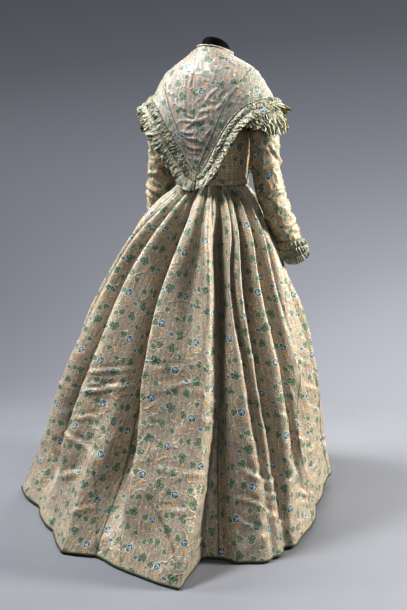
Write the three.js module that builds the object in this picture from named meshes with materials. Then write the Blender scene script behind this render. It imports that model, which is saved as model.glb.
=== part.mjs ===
// Afternoon dress of brocaded silk taffeta on a limbless dress form with a pole and a round base.
// Millimetres, +Z up. Origin: centre of the base's underside on the floor, under the waist.
// The dress faces -Y; its back and train are toward +Y. The wearer's left is +X, the right is -X.
// Angles round the body are in degrees from the centre back (+Y) toward the wearer's left (+X).
import * as THREE from 'three';

// ---------- driving dimensions ----------
const WAIST_Z = 1001;          // top edge of the skirt
const BODICE_Z0 = 1001.6;      // lower edge of the bodice
const WALL_SKIRT = 1.8;        // skirt silk with its turned edges
const WALL_BODICE = 1.6;
const WALL_SLEEVE = 1.6;
const WALL_CAPE = 1.8;         // pelerine panels and bands
const WALL_FRILL = 1.4;
const SEAM_GAP = 0.4;          // clear space between neighbouring pieces
const WAIST_A = 104, WAIST_B = 84;   // half width and half depth of the waist
const SKIRT_BULGE = 16;        // fullness of the skirt between waist and hem
const FOLD_DEPTH = 1.3;        // scales every fold's depth
const HEM_BRAID_H = 7, HEM_BRAID_T = 1.3;
const BELT_Z0 = 1003, BELT_Z1 = 1019, BELT_OFF = 3.6, BELT_T = 1.5;
const FLUTE = 23;              // length of frill edge taken by one flute
const BASE_R = 182, BASE_H = 18, POLE_R = 16, FORM_Z0 = 880;

// ---------- tables ----------
// hem outline: angle, radius half way down, radius at the floor, height of the edge
const HEM = [
  [-180, 448, 470, 36], [-147, 408, 425, 36], [-117, 380, 350, 30], [-91, 364, 345, 20],
  [-64, 430, 434, 12], [-51, 475, 490, 7], [-41, 503, 506, 4], [-29, 532, 526, 3],
  [-23, 545, 520, 3], [-20, 552, 580, 3], [-15, 562, 655, 3], [-3, 578, 602, 4],
  [8, 585, 580, 5], [17, 586, 615, 6], [31, 582, 553, 6], [51, 592, 560, 7],
  [67, 608, 618, 9], [80, 566, 562, 14], [99, 495, 505, 20], [123, 432, 462, 28],
  [152, 438, 456, 34], [180, 448, 470, 36]];
// how the skirt opens from waist to floor: share of the height, share of the spread
const SPREAD = [[0, 0], [0.02, 0.035], [0.05, 0.105], [0.1, 0.195], [0.2, 0.315], [0.3, 0.415],
  [0.4, 0.505], [0.5, 0.59], [0.6, 0.665], [0.7, 0.735], [0.8, 0.81], [0.9, 0.9], [1, 1]];
// folds: angle at 5, 25, 50, 75 and 100 % of the height, half width (deg), height out (+) or in (-), start, end
const FOLDS = [
  ['a01', 46, 53, 60, 62, 62, 5.5, 10, 0, 0.55], ['a02', 38, 42, 50, 55, 58, 4.5, -11, 0, 0.68],
  ['a03', 33, 34, 41, 60, 68, 5.5, 15, 0, 1.2], ['a04', 23, 25, 28, 42, 56, 5.5, -17, 0, 1.2],
  ['a05', 15, 17, 21, 33, 44, 5.5, 15, 0, 1.2], ['a06', 14, 14, 14, 17, 21, 5, 9, 0.5, 1.2],
  ['a07', 4.5, 3, 2, 1, 6, 6.5, -28, 0, 1.2], ['a08', 12, 12, 11, 11, 15.5, 3.5, -8, 0.66, 1.2],
  ['a09', -8, -6, -6, -7.5, 0, 4.8, 13, 0, 1.2], ['a10', -17, -16, -17, -12, -10, 3.4, -12, 0, 0.45],
  ['a11', -22, -22, -22.5, -18.5, -13, 5.2, 14, 0, 1.2], ['a12', -36, -29, -27.5, -25, -28, 5, -22, 0, 1.2],
  ['a13', -44, -33.5, -36.5, -40, -41, 3.6, 13, 0, 1.2], ['a14', -43, -37.5, -40.5, -43.5, -45, 2.2, -8, 0.1, 0.85],
  ['a15', -49, -42, -44.5, -47.5, -48, 3, 11, 0, 1.2], ['a16', -56, -47.5, -49.5, -52, -51, 3.2, -12, 0, 1.2],
  ['a17', -62, -53.5, -57, -57.5, -56, 3.6, 12, 0, 1.2], ['a18', -69, -60, -64, -70, -66, 4, -13, 0, 1.2],
  ['a19', -76, -66, -74, -84, -80, 4.6, 13, 0, 1.2], ['a20', -84, -76, -83, -94, -92, 4.5, -11, 0, 1.2],
  ['a21', -96, -88, -98, -108, -106, 6, 11, 0, 1.2], ['a22', -109, -104, -112, -120, -121, 5.5, -12, 0, 1.2],
  ['a23', -121, -119, -125, -134, -136, 6, 12, 0, 1.2], ['a24', -134, -134, -139, -147, -149, 5.5, -11, 0, 1.2],
  ['a25', -147, -147, -153, -160, -163, 6.5, 12, 0, 1.2], ['a26', -163, -163, -168, -173, -176, 6, -13, 0, 1.2],
  ['a27', 180, 179, 175, 171, 168, 6.5, 11, 0, 1.2], ['a28', 165, 164, 161, 158, 155, 6, -12, 0, 1.2],
  ['a29', 151, 150, 147, 144, 141, 6, 13, 0, 1.2], ['a30', 136, 135, 133, 130, 128, 6, -12, 0, 1.2],
  ['a31', 120, 119, 117, 115, 114, 6, 12, 0, 1.2], ['a32', 105, 104, 102, 101, 101, 5.5, -13, 0, 1.2],
  ['a33', 91, 89, 87, 88, 90, 6, 12, 0, 1.2], ['a34', 76, 74, 72, 76, 80, 5, -10, 0, 1.2],
  // the skirt gives way under each forearm
  ['b01', -96, -110, -116, -116, -116, 18, -22, 0, 0.42], ['b02', 97, 112, 117, 117, 117, 19, -26, 0, 0.42]];
// skirt widths: angles of the two seams, columns of facets
const WIDTHS = [
  ['skirt_width_1_centre_back', -29, 8, 13], ['skirt_width_2_back_right', -75, -29, 15],
  ['skirt_width_3_side_right', -130, -75, 12], ['skirt_width_4_front_right', -180, -130, 10],
  ['skirt_width_5_front_left', 125, 180, 11], ['skirt_width_6_side_left', 65, 125, 12],
  ['skirt_width_7_back_left', 8, 65, 16]];
const SKIRT_ROWS = [0, 0.025, 0.08, 0.18, 0.32, 0.48, 0.65, 0.83, 1];
// bodice, inner face: height, half width, depth to the back, depth to the front, centre y, roundness
const BODICE = [
  [1001, 104, 84, 84, 0, 2], [1050, 106, 86, 90, 0, 2.05], [1110, 111, 90, 101, 0, 2.1],
  [1165, 116, 94, 109, 0, 2.2], [1200, 120, 96, 111, 0, 2.3], [1240, 128, 97, 108, 0, 2.35],
  [1270, 134, 97, 102, 0, 2.4], [1300, 136, 95, 92, 0, 2.4], [1326, 122, 88, 76, -2, 2.3],
  [1350, 97, 78, 62, -5, 2.2], [1375, 72, 62, 54, -9, 2.1], [1394, 55, 52, 54, -12, 2]];
// bodice rows: height, angle of the side edge (the armhole takes the rest)
const BODICE_ROWS = [[BODICE_Z0, 90], [1045, 90], [1105, 90], [1158, 90], [1184, 72], [1215, 58],
  [1265, 57], [1297, 67], [1313, 90], [1350, 90], [1392, 90]];
// pelerine: the surface over shoulders and sleeve heads, same columns as the bodice
const CAPE = [
  [950, 205, 107, 112, 0, 2.2], [1000, 205, 101, 104, 0, 2.2], [1050, 214, 101, 109, 0, 2.2],
  [1100, 221, 106, 118, 0, 2.3], [1150, 223, 114, 124, 0, 2.4], [1185, 217, 116, 126, 0, 2.4],
  [1220, 203, 116, 122, 0, 2.4], [1256, 183, 114, 113, 0, 2.4], [1290, 163, 110, 101, 0, 2.4],
  [1326, 138, 100, 86, 0, 2.3], [1360, 97, 84, 71, -6, 2.2], [1385, 71, 67, 66, -10, 2.1],
  [1402, 51, 53, 62, -13, 2]];
// pelerine band, from the back point to the shoulder top: inner angle, inner height,
// outer angle, outer height, frill width on the right, on the left
const BAND = [
  [0.6, 1058, 0.6, 1034, 34, 34], [4.5, 1070, 9, 1046, 36, 38], [10, 1092, 18.5, 1075, 38, 44],
  [17.7, 1122, 26, 1105, 40, 52], [25, 1155, 33.5, 1137, 42, 58], [31, 1188, 40, 1168, 43, 60],
  [36.5, 1220, 46.5, 1196, 44, 58], [42.5, 1252, 54, 1222, 46, 56], [51, 1283, 62, 1240, 48, 54],
  [62, 1308, 71, 1250, 50, 52], [75, 1329, 80, 1255, 50, 52], [90, 1340, 90, 1257, 50, 52]];
const CAPE_TOP_ROWS = [1340, 1362, 1384, 1402];
// second ruffle over each sleeve head: angles of its ends, top height, depth
const RUFFLE = { a0: 54, a1: 126, below: 24, depth: 88 };
// sleeves: x outward, y, z, radius, tilt of the section (deg below level)
const SLEEVE_RIGHT = [
  [126, 0, 1245, 43, 20], [147, 2, 1222, 39, 50], [164, 4, 1182, 41, 75], [171, 5, 1135, 43, 84],
  [175, 5, 1080, 43, 86], [181, 0, 1025, 42, 86], [189, -12, 970, 42, 0], [200, -42, 908, 40, 0],
  [210, -82, 852, 37, 0], [217, -114, 804, 33, 0], [221, -134, 768, 30, 0]];
const SLEEVE_LEFT = [
  [126, 0, 1245, 43, 20], [147, 2, 1222, 39, 50], [164, 4, 1182, 41, 75], [170, 5, 1135, 43, 84],
  [172, 4, 1080, 43, 86], [176, -1, 1025, 42, 86], [189, -17, 970, 42, 0], [212, -54, 908, 40, 0],
  [232, -94, 852, 37, 0], [240, -128, 806, 33, 0], [244, -152, 770, 30, 0]];
// dress form: height, half width, depth back, depth front, centre y, roundness
const FORM = [
  [FORM_Z0, 100, 80, 84, 0, 2], [FORM_Z0 + 14, 112, 90, 94, 0, 2], [930, 110, 88, 90, 0, 2],
  [965, 100, 80, 80, 0, 2], [1001, 95, 75, 75, 0, 2], [1050, 97, 77, 81, 0, 2.05],
  [1110, 99, 81, 92, 0, 2.1], [1165, 99, 85, 100, 0, 2.2], [1200, 98, 87, 102, 0, 2.2],
  [1240, 102, 88, 99, 0, 2.3], [1270, 107, 88, 93, 0, 2.3], [1295, 110, 86, 83, 0, 2.3],
  [1318, 100, 79, 68, -2, 2.2], [1342, 78, 68, 52, -5, 2.1], [1356, 60, 55, 45, -9, 2],
  [1366, 50, 48, 43, -12, 2]];
// neck of the form, cut off by a plane that drops to the front: share of the height, radius, centre y
const NECK = [[0.25, 43, -14], [0.6, 42.5, -17], [0.88, 41.5, -21], [0.97, 38, -22], [1, 31, -22.5]];
const NECK_TOP_Z = 1408, NECK_SLOPE = 0.62;   // height of the top's centre, drop per mm forward
const NECK_DROP = 22;          // how much lower the necklines are in front than behind

// ---------- small maths ----------
const D2R = Math.PI / 180;
const wrap180 = a => ((a + 180) % 360 + 360) % 360 - 180;
const clamp01 = x => Math.min(1, Math.max(0, x));
const ease = x => { x = clamp01(x); return x * x * (3 - 2 * x); };
function lin(tab, x, col) {
  if (x <= tab[0][0]) return tab[0][col];
  for (let i = 1; i < tab.length; i++) if (x <= tab[i][0]) {
    const k = (x - tab[i - 1][0]) / (tab[i][0] - tab[i - 1][0]);
    return tab[i - 1][col] + k * (tab[i][col] - tab[i - 1][col]);
  }
  return tab[tab.length - 1][col];
}
// smooth curve through a table's column (cubic, three-point slopes)
function smooth(tab, x, col) {
  const n = tab.length;
  if (x <= tab[0][0]) return tab[0][col];
  if (x >= tab[n - 1][0]) return tab[n - 1][col];
  let i = 1; while (tab[i][0] < x) i++;
  const h = tab[i][0] - tab[i - 1][0], s = (tab[i][col] - tab[i - 1][col]) / h;
  const slope = j => {
    if (j === 0 || j === n - 1) return s;
    const h0 = tab[j][0] - tab[j - 1][0], h1 = tab[j + 1][0] - tab[j][0];
    const s0 = (tab[j][col] - tab[j - 1][col]) / h0, s1 = (tab[j + 1][col] - tab[j][col]) / h1;
    return (s0 * h1 + s1 * h0) / (h0 + h1);
  };
  const m0 = slope(i - 1), m1 = slope(i), u = (x - tab[i - 1][0]) / h, u2 = u * u, u3 = u2 * u;
  return (2 * u3 - 3 * u2 + 1) * tab[i - 1][col] + (u3 - 2 * u2 + u) * h * m0
    + (-2 * u3 + 3 * u2) * tab[i][col] + (u3 - u2) * h * m1;
}
const V = (x, y, z) => new THREE.Vector3(x, y, z);

// necklines dip toward the front
const neckDrop = (z, c) => NECK_DROP * ease((z - 1335) / 67) * (1 - c) / 2;
// a ring surface: point at height z and angle a
function onRing(tab, z, a, off = 0) {
  const A = smooth(tab, z, 1) + off, s = Math.sin(a * D2R), c = Math.cos(a * D2R);
  const B = smooth(tab, z, c > 0 ? 2 : 3) + off, n = smooth(tab, z, 5);
  const r = Math.pow(Math.pow(Math.abs(s / A), n) + Math.pow(Math.abs(c / B), n), -1 / n);
  return V(r * s, smooth(tab, z, 4) + r * c, z - neckDrop(z, c));
}
// outward unit normal of a surface f(a, b), by small steps
function normalOf(f, a, b, da, db) {
  const p = f(a, b), q = f(a + da, b).sub(f(a - da, b)), r = f(a, b + db).sub(f(a, b - db));
  const n = q.cross(r).normalize();
  const axis = V(p.x, p.y, 0);
  if (n.dot(axis) < 0) n.negate();
  return n;
}

// skirt surface: angle a, share t of the height from waist to hem
function skirtPoint(a, t) {
  a = wrap180(a);
  const s = Math.sin(a * D2R), c = Math.cos(a * D2R);
  const rw = 1 / Math.sqrt((s / WAIST_A) ** 2 + (c / WAIST_B) ** 2);
  const k = ease((t - 0.5) / 0.5);
  let r = rw + (lin(HEM, a, 1) * (1 - k) + lin(HEM, a, 2) * k - rw) * smooth(SPREAD, t, 1) + SKIRT_BULGE * 4 * t * (1 - t);
  for (const [, f0, f1, f2, f3, f4, w, d, t0, t1] of FOLDS) {
    const fc = smooth([[0.05, f0], [0.25, f1], [0.5, f2], [0.75, f3], [1, f4]], Math.max(t, 0.05), 1);
    const e = wrap180(a - fc) / w;
    if (Math.abs(e) > 3) continue;
    const top = 0.16 + 0.84 * ease(t / 0.2);
    const env = t0 > 0 ? ease((t - t0) / 0.2) : 1, out = t1 < 1.1 ? 1 - ease((t - t1 + 0.15) / 0.15) : 1;
    r += d * (t1 < 0.5 ? 1 : FOLD_DEPTH) * Math.exp(-e * e) * top * env * out;
  }
  const z = WAIST_Z - (WAIST_Z - lin(HEM, a, 3)) * t;
  return V(r * s, r * c, z);
}
// (level at the waist edge, where it meets the bodice)
function skirtNormal(a, t) {
  const n = normalOf(skirtPoint, a, Math.min(0.995, Math.max(0.005, t)), 0.7, 0.004);
  return t > 0 ? n : n.setZ(0).normalize();
}
const skirtOuter = (a, t) => skirtPoint(a, t).addScaledVector(skirtNormal(a, t), WALL_SKIRT);

// ---------- closed walls from a grid ----------
// at(i, j, side) gives the point of row i, column j on the inner (0) or outer (1) face
function wall(rows, cols, closed, at) {
  const pos = [], idx = [], id = (s, i, j) => (s * rows + i) * cols + (closed ? (j % cols) : j);
  for (let s = 0; s < 2; s++) for (let i = 0; i < rows; i++) for (let j = 0; j < cols; j++) {
    const p = at(i, j, s); pos.push(p.x, p.y, p.z);
  }
  const quad = (a, b, c, d) => idx.push(a, b, c, a, c, d);
  const nc = closed ? cols : cols - 1;
  for (let i = 0; i < rows - 1; i++) for (let j = 0; j < nc; j++) {
    quad(id(1, i, j), id(1, i + 1, j), id(1, i + 1, j + 1), id(1, i, j + 1));
    quad(id(0, i, j), id(0, i, j + 1), id(0, i + 1, j + 1), id(0, i + 1, j));
  }
  const e = rows - 1;
  for (let j = 0; j < nc; j++) {
    quad(id(1, 0, j), id(1, 0, j + 1), id(0, 0, j + 1), id(0, 0, j));
    quad(id(1, e, j + 1), id(1, e, j), id(0, e, j), id(0, e, j + 1));
  }
  if (!closed) for (let i = 0; i < rows - 1; i++) {
    quad(id(1, i + 1, 0), id(1, i, 0), id(0, i, 0), id(0, i + 1, 0));
    quad(id(1, i + 1, cols - 1), id(0, i + 1, cols - 1), id(0, i, cols - 1), id(1, i, cols - 1));
  }
  return solid(pos, idx);
}
// stacked closed rings with both ends capped
function stack(rings, n, at) {
  const pos = [], idx = [];
  for (let i = 0; i < rings; i++) for (let j = 0; j < n; j++) { const p = at(i, j); pos.push(p.x, p.y, p.z); }
  for (let i = 0; i < rings - 1; i++) for (let j = 0; j < n; j++) {
    const a = i * n + j, b = i * n + (j + 1) % n, c = a + n, d = b + n;
    idx.push(a, b, d, a, d, c);
  }
  for (const i of [0, rings - 1]) {
    const c = V(0, 0, 0);
    for (let j = 0; j < n; j++) c.add(V(...pos.slice((i * n + j) * 3, (i * n + j) * 3 + 3)));
    c.multiplyScalar(1 / n);
    const m = pos.length / 3; pos.push(c.x, c.y, c.z);
    for (let j = 0; j < n; j++) {
      const a = i * n + j, b = i * n + (j + 1) % n;
      if (i === 0) idx.push(m, b, a); else idx.push(m, a, b);
    }
  }
  return solid(pos, idx);
}
function solid(pos, idx) {
  let vol = 0;
  for (let k = 0; k < idx.length; k += 3) {
    const [a, b, c] = [idx[k], idx[k + 1], idx[k + 2]].map(i => V(pos[3 * i], pos[3 * i + 1], pos[3 * i + 2]));
    vol += a.dot(b.cross(c));
  }
  if (vol < 0) for (let k = 0; k < idx.length; k += 3) [idx[k], idx[k + 1]] = [idx[k + 1], idx[k]];
  const g = new THREE.BufferGeometry();
  g.setAttribute('position', new THREE.Float32BufferAttribute(pos, 3));
  g.setIndex(idx);
  g.computeVertexNormals();
  return g;
}

// ---------- materials ----------
const silk = new THREE.MeshStandardMaterial({ color: 0xb5a086, roughness: 0.42, metalness: 0 });
const silkPale = new THREE.MeshStandardMaterial({ color: 0xc9bcaa, roughness: 0.45, metalness: 0 });
const silkFrill = new THREE.MeshStandardMaterial({ color: 0xb9b39a, roughness: 0.55, metalness: 0 });
const braid = new THREE.MeshStandardMaterial({ color: 0x3f4a38, roughness: 0.7, metalness: 0 });
const formBlack = new THREE.MeshStandardMaterial({ color: 0x111114, roughness: 0.75, metalness: 0 });
const steel = new THREE.MeshStandardMaterial({ color: 0x3a3b3d, roughness: 0.4, metalness: 0.8 });

const group = new THREE.Group();
function add(name, geometry, material) {
  const m = new THREE.Mesh(geometry, material);
  m.name = name;
  group.add(m);
}

// ---------- skirt ----------
for (const [name, s0, s1, n] of WIDTHS) {
  add(name, wall(SKIRT_ROWS.length, n + 1, false, (i, j, side) => {
    const t = SKIRT_ROWS[i];
    let a = s0 + (s1 - s0) * j / n;
    const p0 = skirtPoint(a, t), half = SEAM_GAP / 2 / Math.hypot(p0.x, p0.y) / D2R;
    if (j === 0) a += half; if (j === n) a -= half;
    return skirtPoint(a, t).addScaledVector(skirtNormal(a, t), side * WALL_SKIRT);
  }), silk);
}
// braid round the hem, outside the edge, on the same columns
{
  const cols = [];
  for (const [, s0, s1, n] of [...WIDTHS].sort((p, q) => p[1] - q[1]))
    for (let j = 0; j < n; j++) cols.push(s0 + (s1 - s0) * j / n);
  add('hem_braid', wall(2, cols.length, true, (i, j, side) => {
    const a = cols[j], last = SKIRT_ROWS.length - 1, t0 = SKIRT_ROWS[last - 1];
    const k = i === 0 ? 1 - HEM_BRAID_H / WAIST_Z / (1 - t0) : 1;
    return skirtOuter(a, t0).lerp(skirtOuter(a, 1), k).addScaledVector(skirtNormal(a, 1), 1.1 + side * HEM_BRAID_T);
  }), braid);
}

// ---------- bodice ----------
const bodice = (z, a, off) => {
  const f = (aa, zz) => onRing(BODICE, zz, aa);
  const n = normalOf(f, a, Math.min(1390, Math.max(1003, z)), 0.8, 1.5);
  if (z < BELT_Z1 + 1) n.setZ(0).normalize();
  return onRing(BODICE, z, a).addScaledVector(n, off);
};
function bodicePanel(name, from, to, n) {
  add(name, wall(BODICE_ROWS.length, n + 1, false, (i, j, side) => {
    const [z, edge] = BODICE_ROWS[i];
    const gap = SEAM_GAP / 2 / 100 / D2R;
    let a0 = from(edge, gap), a1 = to(edge, gap);
    return bodice(z, a0 + (a1 - a0) * j / n, side * WALL_BODICE);
  }), silk);
}
bodicePanel('bodice_back', (e, g) => -e + g, (e, g) => e - g, 10);
bodicePanel('bodice_front_left', (e, g) => 180 - e + g, (e, g) => 180 - g, 5);
bodicePanel('bodice_front_right', (e, g) => -180 + g, (e, g) => -180 + e - g, 5);
// waistband over the joint of bodice and skirt
add('waistband', wall(2, 28, true, (i, j, side) => {
  const a = -180 + 360 * j / 28, z = i === 0 ? BELT_Z0 : BELT_Z1;
  return bodice(z, a, BELT_OFF + side * BELT_T);
}), silkPale);

// ---------- sleeves and their ruched cuffs ----------
const AROUND = 12;
function sleeveFrame(tab, i, sx) {
  const [x, y, z, r, tilt] = tab[i];
  let d;
  if (tilt > 0) d = V(Math.cos(tilt * D2R), 0, -Math.sin(tilt * D2R));
  else {
    const p = tab[i - 1], q = tab[Math.min(tab.length - 1, i + 1)];
    d = V(q[0] - p[0], q[1] - p[1], q[2] - p[2]).normalize();
  }
  const e1 = V(0, 1, 0).addScaledVector(d, -d.y).normalize(), e2 = d.clone().cross(e1);
  return { c: V(x, y, z), d, e1, e2, r, sx };
}
function ringPoint(f, ang, r) {
  const p = f.c.clone().addScaledVector(f.e1, r * Math.cos(ang * D2R)).addScaledVector(f.e2, r * Math.sin(ang * D2R));
  return V(p.x * f.sx, p.y, p.z);
}
for (const [side, tab, sx] of [['left', SLEEVE_LEFT, 1], ['right', SLEEVE_RIGHT, -1]]) {
  const frames = tab.map((_, i) => sleeveFrame(tab, i, sx));
  add('sleeve_' + side, wall(tab.length, AROUND, true, (i, j, s) => {
    const ang = 360 * j / AROUND;
    const crease = i > 1 && i < tab.length - 1 ? 1.2 * Math.sin(2.1 * i + ang * D2R * 2) : 0;
    return ringPoint(frames[i], ang, frames[i].r + crease - (1 - s) * WALL_SLEEVE);
  }), silk);
  // ruched trim round the wrist, higher on the back seam of the sleeve
  const e = tab.length - 1;
  add('cuff_ruching_' + side, wall(3, AROUND, true, (i, j, s) => {
    const ang = 360 * j / AROUND, k = i / 2;
    const up = 62 + 16 * Math.cos(ang * D2R);
    const back = (1 - k) * up / Math.hypot(...[0, 1, 2].map(c => tab[e][c] - tab[e - 1][c]));
    const kk = Math.min(1.9, back), i0 = kk <= 1 ? e - 1 : e - 2, u = kk <= 1 ? 1 - kk : 2 - kk;
    const A = frames[i0], B = frames[i0 + 1];
    const f = { c: A.c.clone().lerp(B.c, u), e1: A.e1, e2: A.e2, r: A.r + (B.r - A.r) * u, sx };
    if (k > 0.98) { f.e1 = B.e1; f.e2 = B.e2; }
    const lump = s ? (i === 1 ? 6 : 3.4) + 1.2 * Math.sin(5 * ang * D2R + 2 * i) : 0;
    return ringPoint(f, ang, f.r + 2.6 + lump);
  }), silkFrill);
}

// ---------- pelerine ----------
const cape = (z, a) => onRing(CAPE, z, a);
const capeNormal = (z, a) => {
  const n = normalOf((aa, zz) => onRing(CAPE, zz, aa), a, Math.min(1398, Math.max(952, z)), 0.8, 1.5);
  return n;
};
const capeWall = (z, a, off) => cape(z, a).addScaledVector(capeNormal(z, a), off);
const HALF = BAND.length;
// band sections right round one shoulder: back point, shoulder, front point
const bandRow = q => q < HALF ? BAND[q] : (r => [180 - r[0], r[1], 180 - r[2], r[3], r[4], r[5]])(BAND[2 * HALF - 2 - q]);
const BAND_N = 2 * HALF - 1;
// panels inside the bands: one row per band section, then the rows over the shoulders
function capePanel(name, front, sx) {
  const rows = HALF + CAPE_TOP_ROWS.length - 1;
  const n = front ? 4 : 8;
  add(name, wall(rows, n + 1, false, (i, j, side) => {
    const z = i < HALF ? BAND[i][1] + (i === 0 ? 0 : 0) : CAPE_TOP_ROWS[i - HALF + 1];
    const edge = (i < HALF ? BAND[i][0] : 90) - SEAM_GAP / 130 / D2R * 0.5;
    const mid = 0.12;
    let a;
    if (!front) a = -edge + 2 * edge * j / n;
    else a = sx * (180 - (mid + (edge - mid) * j / n));
    return capeWall(z, a, side * WALL_CAPE);
  }), silkPale);
}
capePanel('pelerine_back', false, 1);
capePanel('pelerine_front_left', true, 1);
capePanel('pelerine_front_right', true, -1);

for (const [side, sx] of [['left', 1], ['right', -1]]) {
  const edgePoint = (q, k, off) => {
    const r = bandRow(q), gap = SEAM_GAP / 130 / D2R * 0.5;
    const sgn = q < HALF - 1 ? 1 : q > HALF - 1 ? -1 : 0;
    const a = r[0] + (r[2] - r[0]) * k + (k === 0 ? sgn * gap : 0), z = r[1] + (r[3] - r[1]) * k - (k === 0 ? 0.4 : 0);
    return capeWall(z, sx * a, off);
  };
  add('pelerine_band_' + side, wall(3, BAND_N, false, (i, j, s) => edgePoint(j, i / 2, s * WALL_CAPE)), silkPale);
  // frill along the band's outer edge, standing away from the body in flutes
  const base = [], acc = [0];
  for (let q = 0; q < BAND_N; q++) {
    const r = bandRow(q), p = edgePoint(q, 1, WALL_CAPE * 0.5), n = capeNormal(r[3], sx * r[2]);
    const a = edgePoint(q, 0.8, WALL_CAPE * 0.5), out = p.clone().sub(a);
    base.push({ p, n, out, w: sx > 0 ? r[5] : r[4], z: r[3] });
    if (q) acc.push(acc[q - 1] + p.distanceTo(base[q - 1].p));
  }
  for (let q = 0; q < BAND_N; q++) {
    const t = base[Math.min(BAND_N - 1, q + 1)].p.clone().sub(base[Math.max(0, q - 1)].p).normalize();
    const o = base[q].n.clone().cross(t).normalize();
    if (o.dot(base[q].out) < 0) o.negate();
    base[q].o = o;
  }
  const total = acc[BAND_N - 1], cols = 2 * Math.round(total / FLUTE) + 1;
  const along = s => {
    let q = 1; while (q < BAND_N - 1 && acc[q] < s) q++;
    const k = clamp01((s - acc[q - 1]) / (acc[q] - acc[q - 1])), A = base[q - 1], B = base[q];
    return { p: A.p.clone().lerp(B.p, k), n: A.n.clone().lerp(B.n, k).normalize(), o: A.o.clone().lerp(B.o, k).normalize(), w: A.w + (B.w - A.w) * k };
  };
  add('pelerine_frill_' + side, wall(2, cols, false, (i, j, s) => {
    const f = along(total * j / (cols - 1)), v = i;
    const endEase = Math.min(1, Math.min(j, cols - 1 - j) / 2);
    const lift = (0.1 + 0.42 * ease((f.w - 34) / 14)) * f.w * v, flute = (j % 2 ? 1 : -1) * 4.2 * v * endEase;
    const p = f.p.clone().addScaledVector(f.o, 1.2 + f.w * v).addScaledVector(f.n, lift + flute + 0.6 * v + (s - 0.5) * WALL_FRILL);
    const lim = 0.35;
    if (sx * p.x < lim) p.x = sx * lim;
    return p;
  }), silkFrill);
  // second ruffle hanging over the sleeve head
  const rc = 23;
  add('shoulder_ruffle_' + side, wall(3, rc, false, (i, j, s) => {
    const k = j / (rc - 1), v = i / 2, bell = Math.pow(Math.sin(Math.PI * k), 0.5);
    const a = RUFFLE.a0 + (RUFFLE.a1 - RUFFLE.a0) * k;
    const edge = BAND.map(r => [r[2], r[3]]);
    const z = lin(edge, 90 - Math.abs(90 - a), 1) - RUFFLE.below - RUFFLE.depth * (0.35 + 0.65 * bell) * v;
    const off = 0.4 + 5 * v + (j % 2 ? 3.2 : 0) * v;
    return capeWall(z, sx * a, off + (s) * WALL_FRILL);
  }), silkFrill);
}
// narrow binding at the neckline
add('neck_binding', wall(2, 24, true, (i, j, s) => {
  const a = 360 * j / 24, up = i === 0 ? 2.4 : 7;
  const p = onRing(CAPE, 1402, a, -0.6 + s * 2.4);
  return p.setZ(p.z + up);
}), silkPale);

// ---------- dress form and stand ----------
const FORM_N = 26;
add('dress_form', stack(FORM.length + NECK.length, FORM_N, (i, j) => {
  const a = 360 * j / FORM_N;
  if (i < FORM.length) return onRing(FORM, FORM[i][0], a).setZ(FORM[i][0]);
  const [k, r, cy] = NECK[i - FORM.length], z0 = FORM[FORM.length - 1][0];
  const s = Math.sin(a * D2R), c = Math.cos(a * D2R);
  return V(r * s, cy + r * c, z0 + k * (NECK_TOP_Z + NECK_SLOPE * r * c - z0));
}), formBlack);
add('stand_pole', new THREE.CylinderGeometry(POLE_R, POLE_R, FORM_Z0 - BASE_H - 0.8, 20).rotateX(Math.PI / 2)
  .translate(0, 0, (FORM_Z0 + BASE_H) / 2), steel);
add('stand_base', new THREE.LatheGeometry([[0, 0], [BASE_R - 3, 0], [BASE_R, 3], [BASE_R, 10], [BASE_R - 8, 14], [60, BASE_H - 1], [0, BASE_H]]
  .map(([x, y]) => new THREE.Vector2(x, y)), 40).rotateX(Math.PI / 2), steel);

export default group;
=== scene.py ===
# Looks of the afternoon dress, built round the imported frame. Metres; tables are in millimetres.
# +Z up, the dress faces -Y, the wearer's left is +X. Angles run from the centre back (+Y) to the wearer's left.
import bpy
import math
import numpy as np
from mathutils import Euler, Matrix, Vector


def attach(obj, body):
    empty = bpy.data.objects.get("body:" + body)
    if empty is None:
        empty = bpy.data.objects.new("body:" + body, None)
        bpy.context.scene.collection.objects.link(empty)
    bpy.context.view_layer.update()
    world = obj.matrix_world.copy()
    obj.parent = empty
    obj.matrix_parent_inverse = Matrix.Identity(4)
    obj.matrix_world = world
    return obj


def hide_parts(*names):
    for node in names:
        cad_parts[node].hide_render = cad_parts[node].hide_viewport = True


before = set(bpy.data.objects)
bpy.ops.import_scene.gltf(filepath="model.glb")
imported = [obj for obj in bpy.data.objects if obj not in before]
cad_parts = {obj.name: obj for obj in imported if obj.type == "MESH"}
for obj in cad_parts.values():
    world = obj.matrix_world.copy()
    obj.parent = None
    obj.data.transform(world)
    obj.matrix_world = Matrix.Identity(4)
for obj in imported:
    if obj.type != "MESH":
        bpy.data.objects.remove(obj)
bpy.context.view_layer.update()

# ---------------------------------------------------------------- the part's own tables
WAIST_Z, WAIST_A, WAIST_B, SKIRT_BULGE, FOLD_DEPTH = 1001.0, 104.0, 84.0, 16.0, 1.3
BELT_Z0, BELT_Z1 = 1003.0, 1019.0
D2R = math.pi / 180
HEM = [
    (-180, 448, 470, 36), (-147, 408, 425, 36), (-117, 380, 350, 30), (-91, 364, 345, 20),
    (-64, 430, 434, 12), (-51, 475, 490, 7), (-41, 503, 506, 4), (-29, 532, 526, 3),
    (-23, 545, 520, 3), (-20, 552, 580, 3), (-15, 562, 655, 3), (-3, 578, 602, 4),
    (8, 585, 580, 5), (17, 586, 615, 6), (31, 582, 553, 6), (51, 592, 560, 7),
    (67, 608, 618, 9), (80, 566, 562, 14), (99, 495, 505, 20), (123, 432, 462, 28),
    (152, 438, 456, 34), (180, 448, 470, 36)]
SPREAD = [(0, 0), (.02, .035), (.05, .105), (.1, .195), (.2, .315), (.3, .415), (.4, .505),
          (.5, .59), (.6, .665), (.7, .735), (.8, .81), (.9, .9), (1, 1)]
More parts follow.
